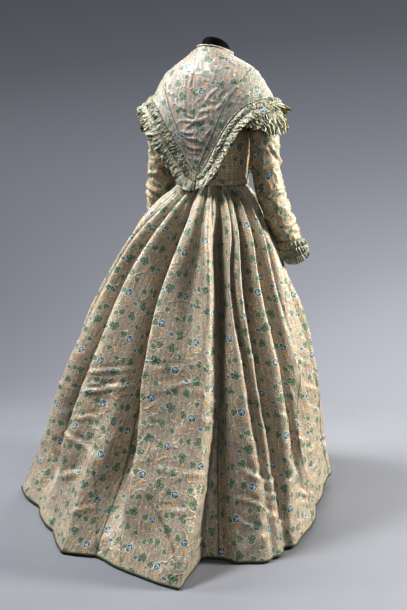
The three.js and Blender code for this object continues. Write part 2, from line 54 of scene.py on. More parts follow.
FOLDS = [
    ('a01', 46, 53, 60, 62, 62, 5.5, 10, 0, 0.55), ('a02', 38, 46, 55, 60, 61, 4.5, -11, 0, 0.8),
    ('a03', 33, 37, 44, 55, 64, 5.2, 15, 0, 1.2), ('a04', 23, 28, 32.5, 43, 51, 5.4, -18, 0, 1.2),
    ('a05', 15, 18.5, 21.5, 27, 35, 5.6, 16, 0, 1.2), ('a06', 14, 14, 14, 15, 19, 5, 7, 0.6, 1.2),
    ('a07', 4.5, 3.6, 4.6, 3.6, 5, 6.4, -28, 0, 1.2), ('a08', 12, 12, 11, 10.5, 13.5, 3.5, -6, 0.70, 1.2),
    ('a09', -8, -6.5, -7, -9.5, -1, 5.2, 14, 0, 1.2), ('a10', -17, -16, -17, -12, -10, 3.4, -12, 0, 0.45),
    ('a11', -22, -22, -22.5, -18.5, -13, 5.2, 14, 0, 1.2), ('a12', -36, -28, -26.5, -26, -27, 5.6, -22, 0, 1.2),
    ('a13', -44, -33.5, -36.5, -40, -41, 3.6, 13, 0, 1.2), ('a14', -43, -37.5, -40.5, -43.5, -45, 2.2, -8, 0.1, 0.85),
    ('a15', -49, -42, -44.5, -47.5, -48, 3, 11, 0, 1.2), ('a16', -56, -47.2, -48.2, -50.8, -51, 3.5, -12, 0, 1.2),
    ('a17', -62, -53.5, -57, -57.5, -56, 3.6, 12, 0, 1.2), ('a18', -69, -60, -64, -70, -66, 4, -13, 0, 1.2),
    ('a19', -76, -66, -74, -84, -80, 4.6, 13, 0, 1.2), ('a20', -84, -76, -83, -94, -92, 4.5, -11, 0, 1.2),
    ('a21', -96, -88, -98, -108, -106, 6, 11, 0, 1.2), ('a22', -109, -104, -112, -120, -121, 5.5, -12, 0, 1.2),
    ('a23', -121, -119, -125, -134, -136, 6, 12, 0, 1.2), ('a24', -134, -134, -139, -147, -149, 5.5, -11, 0, 1.2),
    ('a25', -147, -147, -153, -160, -163, 6.5, 12, 0, 1.2), ('a26', -163, -163, -168, -173, -176, 6, -13, 0, 1.2),
    ('a27', 180, 179, 175, 171, 168, 6.5, 11, 0, 1.2), ('a28', 165, 164, 161, 158, 155, 6, -12, 0, 1.2),
    ('a29', 151, 150, 147, 144, 141, 6, 13, 0, 1.2), ('a30', 136, 135, 133, 130, 128, 6, -12, 0, 1.2),
    ('a31', 120, 119, 117, 115, 114, 6, 12, 0, 1.2), ('a32', 105, 104, 102, 101, 101, 5.5, -13, 0, 1.2),
    ('a33', 91, 89, 87, 88, 90, 6, 12, 0, 1.2), ('a34', 76, 74, 72, 76, 80, 5, -10, 0, 1.2),
    ('b01', -96, -110, -116, -116, -116, 18, -22, 0, 0.42), ('b02', 97, 112, 117, 117, 117, 19, -26, 0, 0.42)]
WIDTHS = [
    ('skirt_width_4_front_right', -180, -130, 1.25), ('skirt_width_3_side_right', -130, -75, 1.6),
    ('skirt_width_2_back_right', -75, -29, 2.3), ('skirt_width_1_centre_back', -29, 8, 2.3),
    ('skirt_width_7_back_left', 8, 65, 1.9), ('skirt_width_6_side_left', 65, 125, 1.3),
    ('skirt_width_5_front_left', 125, 180, 1.25)]
BODICE = [
    (1001, 104, 84, 84, 0, 2), (1050, 106, 86, 90, 0, 2.05), (1110, 111, 90, 101, 0, 2.1),
    (1165, 116, 94, 109, 0, 2.2), (1200, 120, 96, 111, 0, 2.3), (1240, 128, 97, 108, 0, 2.35),
    (1270, 134, 97, 102, 0, 2.4), (1300, 136, 95, 92, 0, 2.4), (1326, 122, 88, 76, -2, 2.3),
    (1350, 97, 78, 62, -5, 2.2), (1375, 72, 62, 54, -9, 2.1), (1394, 55, 52, 54, -12, 2)]
BODICE_EDGE = [(1001.6, 90), (1045, 90), (1105, 90), (1158, 90), (1184, 72), (1215, 58),
               (1265, 57), (1297, 67), (1313, 90), (1350, 90), (1392, 90)]
CAPE = [
    (950, 205, 107, 112, 0, 2.2), (1000, 205, 101, 104, 0, 2.2), (1050, 214, 101, 109, 0, 2.2),
    (1100, 221, 106, 118, 0, 2.3), (1150, 223, 114, 124, 0, 2.4), (1185, 217, 116, 126, 0, 2.4),
    (1220, 203, 116, 122, 0, 2.4), (1256, 183, 114, 113, 0, 2.4), (1290, 163, 110, 101, 0, 2.4),
    (1326, 138, 100, 86, 0, 2.3), (1360, 97, 84, 71, -6, 2.2), (1385, 71, 67, 66, -10, 2.1),
    (1402, 51, 53, 62, -13, 2)]
BAND = [
    (0.6, 1058, 0.6, 1034, 34, 34), (4.5, 1070, 9, 1046, 36, 38), (10, 1092, 18.5, 1075, 38, 44),
    (17.7, 1122, 26, 1105, 40, 52), (25, 1155, 33.5, 1137, 42, 58), (31, 1188, 40, 1168, 43, 60),
    (36.5, 1220, 46.5, 1196, 44, 58), (42.5, 1252, 54, 1222, 46, 56), (51, 1283, 62, 1240, 48, 54),
    (62, 1308, 71, 1250, 50, 52), (75, 1329, 80, 1255, 50, 52), (90, 1340, 90, 1257, 50, 52)]
CAPE_TOP_Z = 1402.0
SLEEVE_RIGHT = [
    (126, 0, 1245, 43, 20), (147, 2, 1222, 39, 50), (164, 4, 1182, 41, 75), (171, 5, 1135, 43, 84),
    (175, 5, 1080, 43, 86), (181, 0, 1025, 42, 86), (189, -12, 970, 42, 0), (200, -42, 908, 40, 0),
    (210, -82, 852, 37, 0), (217, -114, 804, 33, 0), (221, -134, 768, 30, 0)]
SLEEVE_LEFT = [
    (126, 0, 1245, 43, 20), (147, 2, 1222, 39, 50), (164, 4, 1182, 41, 75), (170, 5, 1135, 43, 84),
    (172, 4, 1080, 43, 86), (176, -1, 1025, 42, 86), (189, -17, 970, 42, 0), (212, -54, 908, 40, 0),
    (232, -94, 852, 37, 0), (240, -128, 806, 33, 0), (244, -152, 770, 30, 0)]
FORM_Z0 = 880.0
FORM = [
    (880, 100, 80, 84, 0, 2), (894, 112, 90, 94, 0, 2), (930, 110, 88, 90, 0, 2),
    (965, 100, 80, 80, 0, 2), (1001, 95, 75, 75, 0, 2), (1050, 97, 77, 81, 0, 2.05),
    (1110, 99, 81, 92, 0, 2.1), (1165, 99, 85, 100, 0, 2.2), (1200, 98, 87, 102, 0, 2.2),
    (1240, 102, 88, 99, 0, 2.3), (1270, 107, 88, 93, 0, 2.3), (1295, 110, 86, 83, 0, 2.3),
    (1318, 100, 79, 68, -2, 2.2), (1342, 78, 68, 52, -5, 2.1), (1356, 60, 55, 45, -9, 2),
    (1366, 50, 48, 43, -12, 2)]
NECK = [(0, 50, -12), (0.25, 43, -14), (0.6, 42.5, -17), (0.88, 41.5, -21), (0.97, 38, -22), (1, 31, -22.5)]
NECK_TOP_Z, NECK_SLOPE, NECK_DROP = 1408.0, 0.62, 22.0


# ---------------------------------------------------------------- small maths
def ease(x):
    x = np.clip(x, 0, 1)
    return x * x * (3 - 2 * x)


def wrap180(a):
    return (np.asarray(a, float) + 180) % 360 - 180


def lin(tab, x, col):
    return np.interp(x, [r[0] for r in tab], [r[col] for r in tab])


def smooth(tab, x, col):
    T = np.array([r[0] for r in tab], float)
    Y = np.array([r[col] for r in tab], float)
    x = np.clip(np.asarray(x, float), T[0], T[-1])
    h, n = np.diff(T), len(T)
    s = np.diff(Y) / h
    m = np.zeros(n)
    if n > 2:
        m[1:-1] = (s[:-1] * h[1:] + s[1:] * h[:-1]) / (h[:-1] + h[1:])
    i = np.clip(np.searchsorted(T, x, side="left") - 1, 0, n - 2)
    m0 = np.where(i == 0, s[i], m[i])
    m1 = np.where(i + 1 == n - 1, s[i], m[i + 1])
    u = (x - T[i]) / h[i]
    u2, u3 = u * u, u * u * u
    return (2 * u3 - 3 * u2 + 1) * Y[i] + (u3 - 2 * u2 + u) * h[i] * m0 + (-2 * u3 + 3 * u2) * Y[i + 1] + (u3 - u2) * h[i] * m1


_rng = np.random.default_rng(20)
_perm = _rng.permutation(256)
_grad = _rng.normal(size=(256, 3))
_grad /= np.linalg.norm(_grad, axis=1)[:, None]


def noise3(x, y, z):
    """Smooth noise in space, about -1 to 1, the same each run."""
    x, y, z = np.broadcast_arrays(np.asarray(x, float), np.asarray(y, float), np.asarray(z, float))
    xi, yi, zi = np.floor(x).astype(int), np.floor(y).astype(int), np.floor(z).astype(int)
    fx, fy, fz = x - xi, y - yi, z - zi

    def fade(t):
        return t * t * t * (t * (t * 6 - 15) + 10)

    out = 0.0
    for dx in (0, 1):
        for dy in (0, 1):
            for dz in (0, 1):
                g = _grad[_perm[(_perm[(_perm[(xi + dx) & 255] + yi + dy) & 255] + zi + dz) & 255]]
                d = g[..., 0] * (fx - dx) + g[..., 1] * (fy - dy) + g[..., 2] * (fz - dz)
                w = (fade(fx) if dx else 1 - fade(fx)) * (fade(fy) if dy else 1 - fade(fy)) * (fade(fz) if dz else 1 - fade(fz))
                out = out + w * d
    return out * 1.5


def unit(v):
    return v / (np.linalg.norm(v, axis=-1, keepdims=True) + 1e-12)


def normals(P, toward):
    """Unit normals of a grid, on the side that toward points to."""
    n = unit(np.cross(np.gradient(P, axis=1), np.gradient(P, axis=0)))
    flip = np.sign(np.sum(n * toward, axis=-1).mean()) or 1
    return n * flip


def ring_normals(P, toward):
    """The same on a grid that closes on itself along its columns."""
    Q = np.concatenate([P[:, -1:], P, P[:, :1]], axis=1)
    T = np.concatenate([toward[:, -1:], toward, toward[:, :1]], axis=1)
    return normals(Q, T)[:, 1:-1]


def stack3(x, y, z):
    return np.stack(np.broadcast_arrays(x, y, z), axis=-1)


def crease(X, Y, x0, y0, x1, y1, w, d, bow=0.0):
    """Height of one crease on the flat coordinates X, Y (mm): a crest with a hollow beside it."""
    L = math.hypot(x1 - x0, y1 - y0)
    ux, uy = (x1 - x0) / L, (y1 - y0) / L
    s = ((X - x0) * ux + (Y - y0) * uy) / L
    p = -(X - x0) * uy + (Y - y0) * ux - bow * 4 * np.clip(s, 0, 1) * (1 - np.clip(s, 0, 1))
    taper = ease((s + 0.12) / 0.42) * ease((1.12 - s) / 0.42)
    return d * taper * (np.exp(-(p / w) ** 2) - 0.75 * np.exp(-((p - 1.7 * w) / (1.15 * w)) ** 2))


# ---------------------------------------------------------------- meshes
def shell(name, P, N, thick, uv, closed=False, back=False, attr=None):
    """A thin sheet of cloth from a grid of points in mm (its outer face), with its own thickness and clean edges.
    uv is in metres of cloth, with one column more than P on a closed grid. back gives the inner face the second material."""
    R, C = P.shape[:2]
    inner = P - N * thick
    co = np.concatenate([P.reshape(-1, 3), inner.reshape(-1, 3)]) / 1000.0
    nc = C if closed else C - 1
    I, J = np.meshgrid(np.arange(R - 1), np.arange(nc), indexing="ij")
    J2 = (J + 1) % C
    o = np.stack([I * C + J, (I + 1) * C + J, (I + 1) * C + J2, I * C + J2], -1).reshape(-1, 4)
    uo = np.stack([uv[I, J], uv[I + 1, J], uv[I + 1, J + 1], uv[I, J + 1]], 2).reshape(-1, 4, 2)
    mid = P.reshape(-1, 3)
    k = len(o) // 2
    fn = np.cross(mid[o[:, 1]] - mid[o[:, 0]], mid[o[:, 3]] - mid[o[:, 0]])
    outward = np.sum(fn * N.reshape(-1, 3)[o[:, 0]], axis=1).sum() > 0
    if not outward:
        o, uo = o[:, ::-1], uo[:, ::-1]
    inn, ui = o[:, ::-1] + R * C, uo[:, ::-1]
    rim, ur, keys = [], [], []
    nv = 2 * R * C

    def strip(idx, uvs):
        a, b = idx[:-1], idx[1:]
        q = np.stack([a, b, b + R * C, a + R * C], -1)
        u = np.stack([uvs[:-1], uvs[1:], uvs[1:], uvs[:-1]], 1)
        return q, u

    top = np.arange(C) if not closed else np.append(np.arange(C), 0)
    edges = [(top[::-1], uv[0, :len(top)][::-1]), (top + (R - 1) * C, uv[-1, :len(top)])]
    if not closed:
        edges += [(np.arange(R) * C, uv[:, 0]), ((np.arange(R) * C + C - 1)[::-1], uv[:, C - 1][::-1])]
    for idx, uvs in edges:
        q, u = strip(idx, uvs)
        if outward:
            q, u = q[:, ::-1], u[:, ::-1]
        rim.append(q)
        ur.append(u)
        for off in (0, R * C):
            a, b = idx[:-1] + off, idx[1:] + off
            keys.append(np.minimum(a, b).astype(np.int64) * nv + np.maximum(a, b))
    if not closed:
        for c in (0, C - 1, (R - 1) * C, R * C - 1):
            keys.append(np.array([c * nv + c + R * C], np.int64))
    rim, ur = np.concatenate(rim), np.concatenate(ur)
    F = np.concatenate([o, inn, rim])
    UVS = np.concatenate([uo, ui, ur])
    me = bpy.data.meshes.new(name + "_mesh")
    me.vertices.add(len(co))
    me.vertices.foreach_set("co", co.astype(np.float32).ravel())
    me.loops.add(F.size)
    me.loops.foreach_set("vertex_index", F.astype(np.int32).ravel())
    me.polygons.add(len(F))
    me.polygons.foreach_set("loop_start", np.arange(0, F.size, 4, dtype=np.int32))
    me.update(calc_edges=True)
    layer = me.uv_layers.new(name="cloth")
    layer.data.foreach_set("uv", UVS.astype(np.float32).ravel())
    me.polygons.foreach_set("use_smooth", np.ones(len(F), bool))
    if back:
        mi = np.zeros(len(F), np.int32)
        mi[len(o):len(o) + len(inn)] = 1
        me.polygons.foreach_set("material_index", mi)
    ev = np.zeros(len(me.edges) * 2, np.int32)
    me.edges.foreach_get("vertices", ev)
    ev = ev.reshape(-1, 2).astype(np.int64)
    ek = np.minimum(ev[:, 0], ev[:, 1]) * nv + np.maximum(ev[:, 0], ev[:, 1])
    sharp = me.attributes.new("sharp_edge", "BOOLEAN", "EDGE")
    sharp.data.foreach_set("value", np.isin(ek, np.concatenate(keys)))
    if attr:
        for an, av in attr.items():
            at = me.attributes.new(an, "FLOAT", "POINT")
            v = av.reshape(-1).astype(np.float32)
            at.data.foreach_set("value", np.concatenate([v, v]))
    me.update()
    ob = bpy.data.objects.new(name, me)
    bpy.context.scene.collection.objects.link(ob)
    ob["area"] = float(0.5 * np.linalg.norm(np.cross(mid[o[:, 2]] - mid[o[:, 0]], mid[o[:, 3]] - mid[o[:, 1]]), axis=1).sum() / 1e6)
    return ob


def revolve(name, rings):
    """A closed turned body from rings of points in mm, ends closed to a point."""
    R, C = rings.shape[:2]
    pts = np.concatenate([rings.reshape(-1, 3), [rings[0].mean(0)], [rings[-1].mean(0)]]) / 1000.0
    F = []
    for i in range(R - 1):
        for j in range(C):
            F.append((i * C + j, i * C + (j + 1) % C, (i + 1) * C + (j + 1) % C, (i + 1) * C + j))
    for j in range(C):
        F.append((R * C, (j + 1) % C, j))
        F.append((R * C + 1, (R - 1) * C + j, (R - 1) * C + (j + 1) % C))
    me = bpy.data.meshes.new(name + "_mesh")
    me.from_pydata([tuple(p) for p in pts], [], F)
    me.validate()
    for p in me.polygons:
        p.use_smooth = True
    ob = bpy.data.objects.new(name, me)
    bpy.context.scene.collection.objects.link(ob)
    return ob


def arc_uv(P, closed=False, u0=0.0, v0=0.0, centre=True):
    """Cloth coordinates in metres from a grid: along the rows and down the columns."""
    Q = np.concatenate([P, P[:, :1]], axis=1) if closed else P
    du = np.linalg.norm(np.diff(Q, axis=1), axis=2)
    u = np.concatenate([np.zeros((Q.shape[0], 1)), np.cumsum(du, axis=1)], axis=1)
    if centre:
        u = u - u[:, [Q.shape[1] // 2]]
    dv = np.linalg.norm(np.diff(Q, axis=0), axis=2)
    v = np.concatenate([np.zeros((1, Q.shape[1])), np.cumsum(dv, axis=0)], axis=0)
    v = np.repeat(v.mean(1, keepdims=True), Q.shape[1], axis=1) * 0.5 + v * 0.5
    return np.stack([u / 1000 + u0, v / 1000 + v0], -1)


def settle(ob, node, mats):
    for m in mats:
        ob.data.materials.append(m)
    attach(ob, "root")
    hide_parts(node)
    return ob


# ---------------------------------------------------------------- materials
class Tree:
    """Writes shader nodes in the order in which they are used."""

    def __init__(self, name):
        self.mat = bpy.data.materials.new(name)
        self.mat.use_nodes = True
        self.t = self.mat.node_tree
        self.t.nodes.clear()

    def node(self, kind, **props):
        n = self.t.nodes.new(kind)
        for k, v in props.items():
            setattr(n, k, v)
        return n

    def put(self, sock, v):
        if isinstance(v, bpy.types.NodeSocket):
            self.t.links.new(v, sock)
        elif v is not None:
            sock.default_value = v

    def m(self, op, a, b=None, c=None, clamp=False):
        n = self.node("ShaderNodeMath", operation=op, use_clamp=clamp)
        for k, v in enumerate((a, b, c)):
            self.put(n.inputs[k], v)
        return n.outputs[0]

    def step(self, x, lo, hi, a=0.0, b=1.0):
        n = self.node("ShaderNodeMapRange", interpolation_type="SMOOTHSTEP", clamp=True)
        for k, v in enumerate((x, lo, hi, a, b)):
            self.put(n.inputs[k], v)
        return n.outputs[0]

    def mix(self, f, a, b):
        n = self.node("ShaderNodeMix", data_type="RGBA")
        self.put(n.inputs[0], f)
        self.put(n.inputs[6], a if isinstance(a, bpy.types.NodeSocket) else (*a, 1))
        self.put(n.inputs[7], b if isinstance(b, bpy.types.NodeSocket) else (*b, 1))
        return n.outputs[2]

    def noise(self, vec, scale, detail=2.0, rough=0.5):
        n = self.node("ShaderNodeTexNoise", noise_dimensions="3D")
        self.put(n.inputs["Vector"], vec)
        n.inputs["Scale"].default_value = scale
        n.inputs["Detail"].default_value = detail
        n.inputs["Roughness"].default_value = rough
        return n.outputs[0]


def lin3(r, g, b):
    """sRGB bytes to linear."""
    return tuple((c / 255 / 12.92) if c / 255 <= 0.04045 else ((c / 255 + 0.055) / 1.055) ** 2.4 for c in (r, g, b))


# one charted repeat of the cloth: columns REP_W apart, each REP_DROP lower than its neighbour
REP_W, REP_H, REP_DROP = 60.0, 214.0, 86.0
FLOWER = [(-9, 18, 10.2)]
BUD = [(18, 130, 6.4, 0.6)]
BLOSSOM = [(-14, 38, 7.4, 0.3), (17, 57, 6.4, 1.4), (-22, 152, 5.0, 2.2)]
LEAF = [(-16, 80, 10.5, 0.4), (6, 86, 9.0, 2.4), (-8, 126, 15.5, 1.2), (15, 168, 13.5, 0.2), (15, 14, 11.5, 2.9), (-17, 190, 8.5, 2.0)]
# stems: middle x, middle y, half length, bow per mm^2, turned (deg)
STEM = [(-4, 104, 16, 0.018, 72), (11, 104, 17, 0.012, -42), (2, 188, 19, -0.016, 60), (21, 38, 19, 0.015, 80), (-4, 60, 15, -0.02, 15), (-21, 166, 15, 0.02, 100)]


def silk(name, ground_a, ground_b, strength=1.0, back=False, edge=None, lace=0.5, seam_and_shade_colour=(44, 52, 38), gloss=1.0):
    """Brocaded silk taffeta: fine warp stripes, a trailing self figure, and scattered flowers, blossoms and leaves.
    edge is the width (m) of cloth where v counts from a pinked edge that is dyed darker."""
    T = Tree(name)
    uv = T.node("ShaderNodeUVMap", uv_map="cloth")
    sep = T.node("ShaderNodeSeparateXYZ")
    T.t.links.new(uv.outputs[0], sep.inputs[0])
    geo = T.node("ShaderNodeTexCoord")
    ob = geo.outputs["Object"]
    wob = T.noise(ob, 55.0, 1.0)
    wob2 = T.noise(ob, 210.0, 1.0)
    U = T.m("MULTIPLY_ADD", sep.outputs[0], 1000.0, T.m("MULTIPLY_ADD", wob, 3.4, T.m("MULTIPLY_ADD", wob2, 1.9, -2.65)))
    V = T.m("MULTIPLY_ADD", sep.outputs[1], 1000.0, T.m("MULTIPLY_ADD", wob2, -2.0, 1.0))
    # ground: broad soft stripes and fine warp lines
    broad = T.m("MULTIPLY_ADD", T.m("COSINE", T.m("MULTIPLY", U, 2 * math.pi / REP_W)), 0.5, 0.5)
    col = T.mix(broad, ground_a, ground_b)
    light = tuple(min(1, c * 1.32 + 0.05) for c in ground_b)
    fine = T.m("SINE", T.m("MULTIPLY", U, 2 * math.pi / 3.75))
    col = T.mix(T.step(fine, 0.1, 1.0, 0.0, 0.16), col, light)
    rib = T.m("SINE", T.m("MULTIPLY", U, 2 * math.pi / 15.0))
    col = T.mix(T.step(rib, 0.55, 0.97, 0.0, 0.42), col, light)
    col = T.mix(T.step(rib, -0.72, -0.98, 0.0, 0.30), col, tuple(c * 0.62 for c in ground_a))
    if lace:
        # trailing figure: cream threads with a darker one beside them, thinned out in patches
        comb = T.node("ShaderNodeCombineXYZ")
        T.put(comb.inputs[0], T.m("MULTIPLY", U, 0.060))
        T.put(comb.inputs[1], T.m("MULTIPLY", V, 0.040))
        T.put(comb.inputs[2], 4.7)
        vine = T.noise(comb.outputs[0], 1.0, 1.0, 0.45)
        rings = T.m("FRACT", T.m("MULTIPLY", vine, 7.0))
        f = T.m("ABSOLUTE", T.m("SUBTRACT", rings, 0.5))
        patch = T.m("SINE", T.m("MULTIPLY_ADD", V, 2 * math.pi / 37, T.m("MULTIPLY", U, 0.23)))
        amount = T.step(patch, -0.6, 0.5, 0.2, 1.0)
        col = T.mix(T.m("MULTIPLY", T.m("MULTIPLY", T.step(f, 0.13, 0.04), amount), lace), col, lin3(208, 200, 180))
        g = T.m("ABSOLUTE", T.m("SUBTRACT", rings, 0.70))
        col = T.mix(T.m("MULTIPLY", T.m("MULTIPLY", T.step(g, 0.11, 0.03), amount), 0.85 * lace), col, lin3(66, 64, 48))

    def local(cx, cy):
        x = T.m("SUBTRACT", U, cx)
        i = T.m("ROUND", T.m("DIVIDE", x, REP_W))
        dx = T.m("MULTIPLY_ADD", i, -REP_W, x)
        y = T.m("MULTIPLY_ADD", i, -REP_DROP, T.m("SUBTRACT", V, cy))
        j = T.m("ROUND", T.m("DIVIDE", y, REP_H))
        return dx, T.m("MULTIPLY_ADD", j, -REP_H, y), T.m("MULTIPLY_ADD", i, 2.1, T.m("MULTIPLY", j, 1.3))

    def polar(dx, dy):
        r = T.m("SQRT", T.m("MULTIPLY_ADD", dx, dx, T.m("MULTIPLY", dy, dy)))
        return r, T.m("ARCTAN2", dy, dx)

    # thin cream stems with a dark green line beside them, a painted shadow of the raised stems
    for cx, cy, half, bow, turn in STEM:
        dx, dy, cell = local(cx, cy)
        c, s = math.cos(turn * D2R), math.sin(turn * D2R)
        p = T.m("MULTIPLY_ADD", dx, c, T.m("MULTIPLY", dy, s))
        q = T.m("MULTIPLY_ADD", dy, c, T.m("MULTIPLY", dx, -s))
        q = T.m("MULTIPLY_ADD", T.m("MULTIPLY", p, p), -bow, q)
        inside = T.step(T.m("ABSOLUTE", p), half, half - 3.0)
        col = T.mix(T.m("MULTIPLY", T.m("MULTIPLY", T.step(T.m("ABSOLUTE", q), 1.3, 0.5), inside), 0.55 * strength), col, lin3(222, 214, 190))
        col = T.mix(T.m("MULTIPLY", T.m("MULTIPLY", T.step(T.m("ABSOLUTE", T.m("ADD", q, 1.7)), 1.1, 0.3), inside), 0.6 * strength), col, lin3(44, 56, 38))
    mottle = T.noise(ob, 330.0, 2.0)
    for cx, cy, R, turn in BLOSSOM:
        dx, dy, cell = local(cx, cy)
        r, th = polar(dx, dy)
        rr = T.m("DIVIDE", r, T.m("MULTIPLY_ADD", T.m("COSINE", T.m("MULTIPLY_ADD", th, 5.0, turn)), 0.26 * R, 0.74 * R))
        col = T.mix(T.m("MULTIPLY", T.step(rr, 1.46, 1.26), 0.55 * strength), col, lin3(222, 206, 170))
        col = T.mix(T.m("MULTIPLY", T.step(rr, 1.04, 0.92), 0.92 * strength), col, T.mix(T.step(mottle, 0.42, 0.58), lin3(160, 94, 64), lin3(182, 132, 84)))
        col = T.mix(T.m("MULTIPLY", T.step(rr, 0.5, 0.3), 0.8 * strength), col, lin3(208, 176, 104))
    for cx, cy, R, turn in LEAF:
        dx, dy, cell = local(cx, cy)
        r, th = polar(dx, dy)
        th3 = T.m("MULTIPLY_ADD", th, 3.0, T.m("ADD", cell, turn))
        lobe = T.m("COSINE", th3)
        tooth = T.m("MULTIPLY", T.m("COSINE", T.m("MULTIPLY", th, 13.0)), 0.06)
        round3 = T.m("POWER", T.m("ABSOLUTE", T.m("COSINE", T.m("MULTIPLY", th3, 0.5))), 0.62)
        lopside = T.m("MULTIPLY_ADD", T.m("COSINE", T.m("ADD", th, T.m("MULTIPLY_ADD", cell, 1.7, turn))), 0.24, 0.92)
        rr = T.m("DIVIDE", r, T.m("MULTIPLY", T.m("MULTIPLY", T.m("ADD", T.m("MULTIPLY_ADD", round3, 0.68, 0.36), tooth), lopside), R))
        rr = T.m("ADD", rr, T.m("MULTIPLY_ADD", mottle, 0.9, -0.45))
        col = T.mix(T.m("MULTIPLY", T.step(rr, 1.0 + 3.0 / R, 1.0 + 1.3 / R), 0.6 * strength), col, lin3(196, 202, 184))
        col = T.mix(T.m("MULTIPLY", T.step(rr, 1.08, 0.92), 0.92 * strength), col, lin3(32, 54, 40))
        body = T.mix(T.step(T.noise(ob, 620.0, 1.0), 0.38, 0.58), lin3(46, 78, 58), lin3(122, 146, 124))
        col = T.mix(T.m("MULTIPLY", T.step(rr, 0.88, 0.66), 0.85 * strength), col, body)
        vein = T.m("MULTIPLY", T.step(lobe, 0.84, 0.98), T.step(rr, 0.92, 0.7))
        col = T.mix(T.m("MULTIPLY", vein, 0.5 * strength), col, lin3(150, 172, 144))
        col = T.mix(T.m("MULTIPLY", T.step(rr, 0.34, 0.18), 0.6 * strength), col, lin3(36, 66, 46))
    for cx, cy, R, turn in BUD:
        dx, dy, cell = local(cx, cy)
        r, th = polar(dx, dy)
        rr = T.m("DIVIDE", r, T.m("MULTIPLY_ADD", T.m("COSINE", T.m("MULTIPLY_ADD", th, 2.0, turn)), 0.24 * R, R))
        col = T.mix(T.m("MULTIPLY", T.step(rr, 1.45, 1.25), 0.5 * strength), col, lin3(192, 200, 190))
        col = T.mix(T.m("MULTIPLY", T.step(rr, 1.04, 0.9), 0.9 * strength), col, T.mix(T.step(mottle, 0.42, 0.58), lin3(46, 68, 86), lin3(112, 138, 150)))
    for cx, cy, R in FLOWER:
        dx, dy, cell = local(cx, cy)
        r, th = polar(dx, dy)
        th2 = T.m("ADD", th, T.m("MULTIPLY", cell, 0.35))
        rr = T.m("DIVIDE", r, T.m("MULTIPLY_ADD", T.m("COSINE", T.m("MULTIPLY", th2, 5.0)), 0.045 * R, R))
        col = T.mix(T.m("MULTIPLY", T.step(rr, 1.30, 1.14), 0.62 * strength), col, lin3(196, 206, 200))
        col = T.mix(T.m("MULTIPLY", T.step(rr, 1.05, 0.95), 0.97 * strength), col, lin3(38, 60, 76))
        petal = T.m("COSINE", T.m("MULTIPLY_ADD", th2, 3.0, 1.2))
        col = T.mix(T.m("MULTIPLY", T.step(rr, 0.90, 0.78), 0.92 * strength), col, T.mix(T.step(petal, -0.2, 0.5), lin3(136, 156, 162), lin3(58, 80, 100)))
        shade = T.m("MULTIPLY_ADD", T.m("COSINE", T.m("ADD", th2, 1.9)), 0.22, 0.50)
        col = T.mix(T.m("MULTIPLY", T.step(rr, shade, T.m("SUBTRACT", shade, 0.16)), 0.9 * strength), col, lin3(170, 190, 192))
        col = T.mix(T.m("MULTIPLY", T.step(rr, 0.24, 0.12), 0.9 * strength), col, lin3(44, 62, 84))
    # uneven age and handling
    age = T.noise(ob, 7.0, 3.0)
    col = T.mix(T.step(age, 0.45, 0.75, 0.0, 0.22), col, tuple(c * 0.55 for c in ground_a))
    if edge:
        col = T.mix(T.step(sep.outputs[1], edge[0], edge[1], edge[2], 0.0), col, edge[3])
    # this attribute holds dark seam lines and thin dark lines near the hem on the skirt, and painted shade in the
    # hollows of the frills, shoulder ruffles and cuff ruching; it darkens the front face
    line = T.node("ShaderNodeAttribute", attribute_name="seam_and_painted_shade")
    if not back:
        col = T.mix(T.m("MULTIPLY", line.outputs["Fac"], 0.8), col, lin3(*seam_and_shade_colour))
    bsdf = T.node("ShaderNodeBsdfPrincipled")
    T.put(bsdf.inputs["Base Color"], col)
    T.put(bsdf.inputs["Roughness"], T.step(T.noise(ob, 34.0, 2.0), 0.3, 0.7, 0.46, 0.58))
    bsdf.inputs["Specular IOR Level"].default_value = 0.62 * gloss
    bsdf.inputs["Sheen Weight"].default_value = 0.12
    bsdf.inputs["Sheen Roughness"].default_value = 0.38
    bsdf.inputs["Sheen Tint"].default_value = (1.0, 0.95, 0.86, 1)
    slub = T.noise(T.node_scaled(uv.outputs[0], (260.0, 900.0, 1.0)), 1.0, 2.0, 0.6)
    crumple = T.noise(ob, 46.0, 3.0, 0.55)
    h = T.m("MULTIPLY_ADD", slub, 0.22, T.m("MULTIPLY", crumple, 0.8))
    fold = T.m("ABSOLUTE", T.m("SUBTRACT", T.noise(ob, 15.0, 2.0, 0.45), 0.5))
    fold2 = T.m("ABSOLUTE", T.m("SUBTRACT", T.noise(ob, 27.0, 1.0), 0.5))
    where = T.step(T.noise(ob, 5.2, 1.0), 0.42, 0.62)
    h = T.m("MULTIPLY_ADD", T.m("MULTIPLY", T.step(fold, 0.045, 0.0), where), 1.1, h)
    h = T.m("MULTIPLY_ADD", T.step(fold2, 0.03, 0.0), 0.45, h)
    bump = T.node("ShaderNodeBump")
    bump.inputs["Strength"].default_value = 0.5
    bump.inputs["Distance"].default_value = 0.0022
    T.put(bump.inputs["Height"], h)
    T.t.links.new(bump.outputs[0], bsdf.inputs["Normal"])
    out = T.node("ShaderNodeOutputMaterial")
    T.t.links.new(bsdf.outputs[0], out.inputs[0])
    return T.mat


def _node_scaled(self, vec, scale):
    n = self.node("ShaderNodeVectorMath", operation="MULTIPLY")
    self.put(n.inputs[0], vec)
    n.inputs[1].default_value = scale
    return n.outputs[0]


Tree.node_scaled = _node_scaled

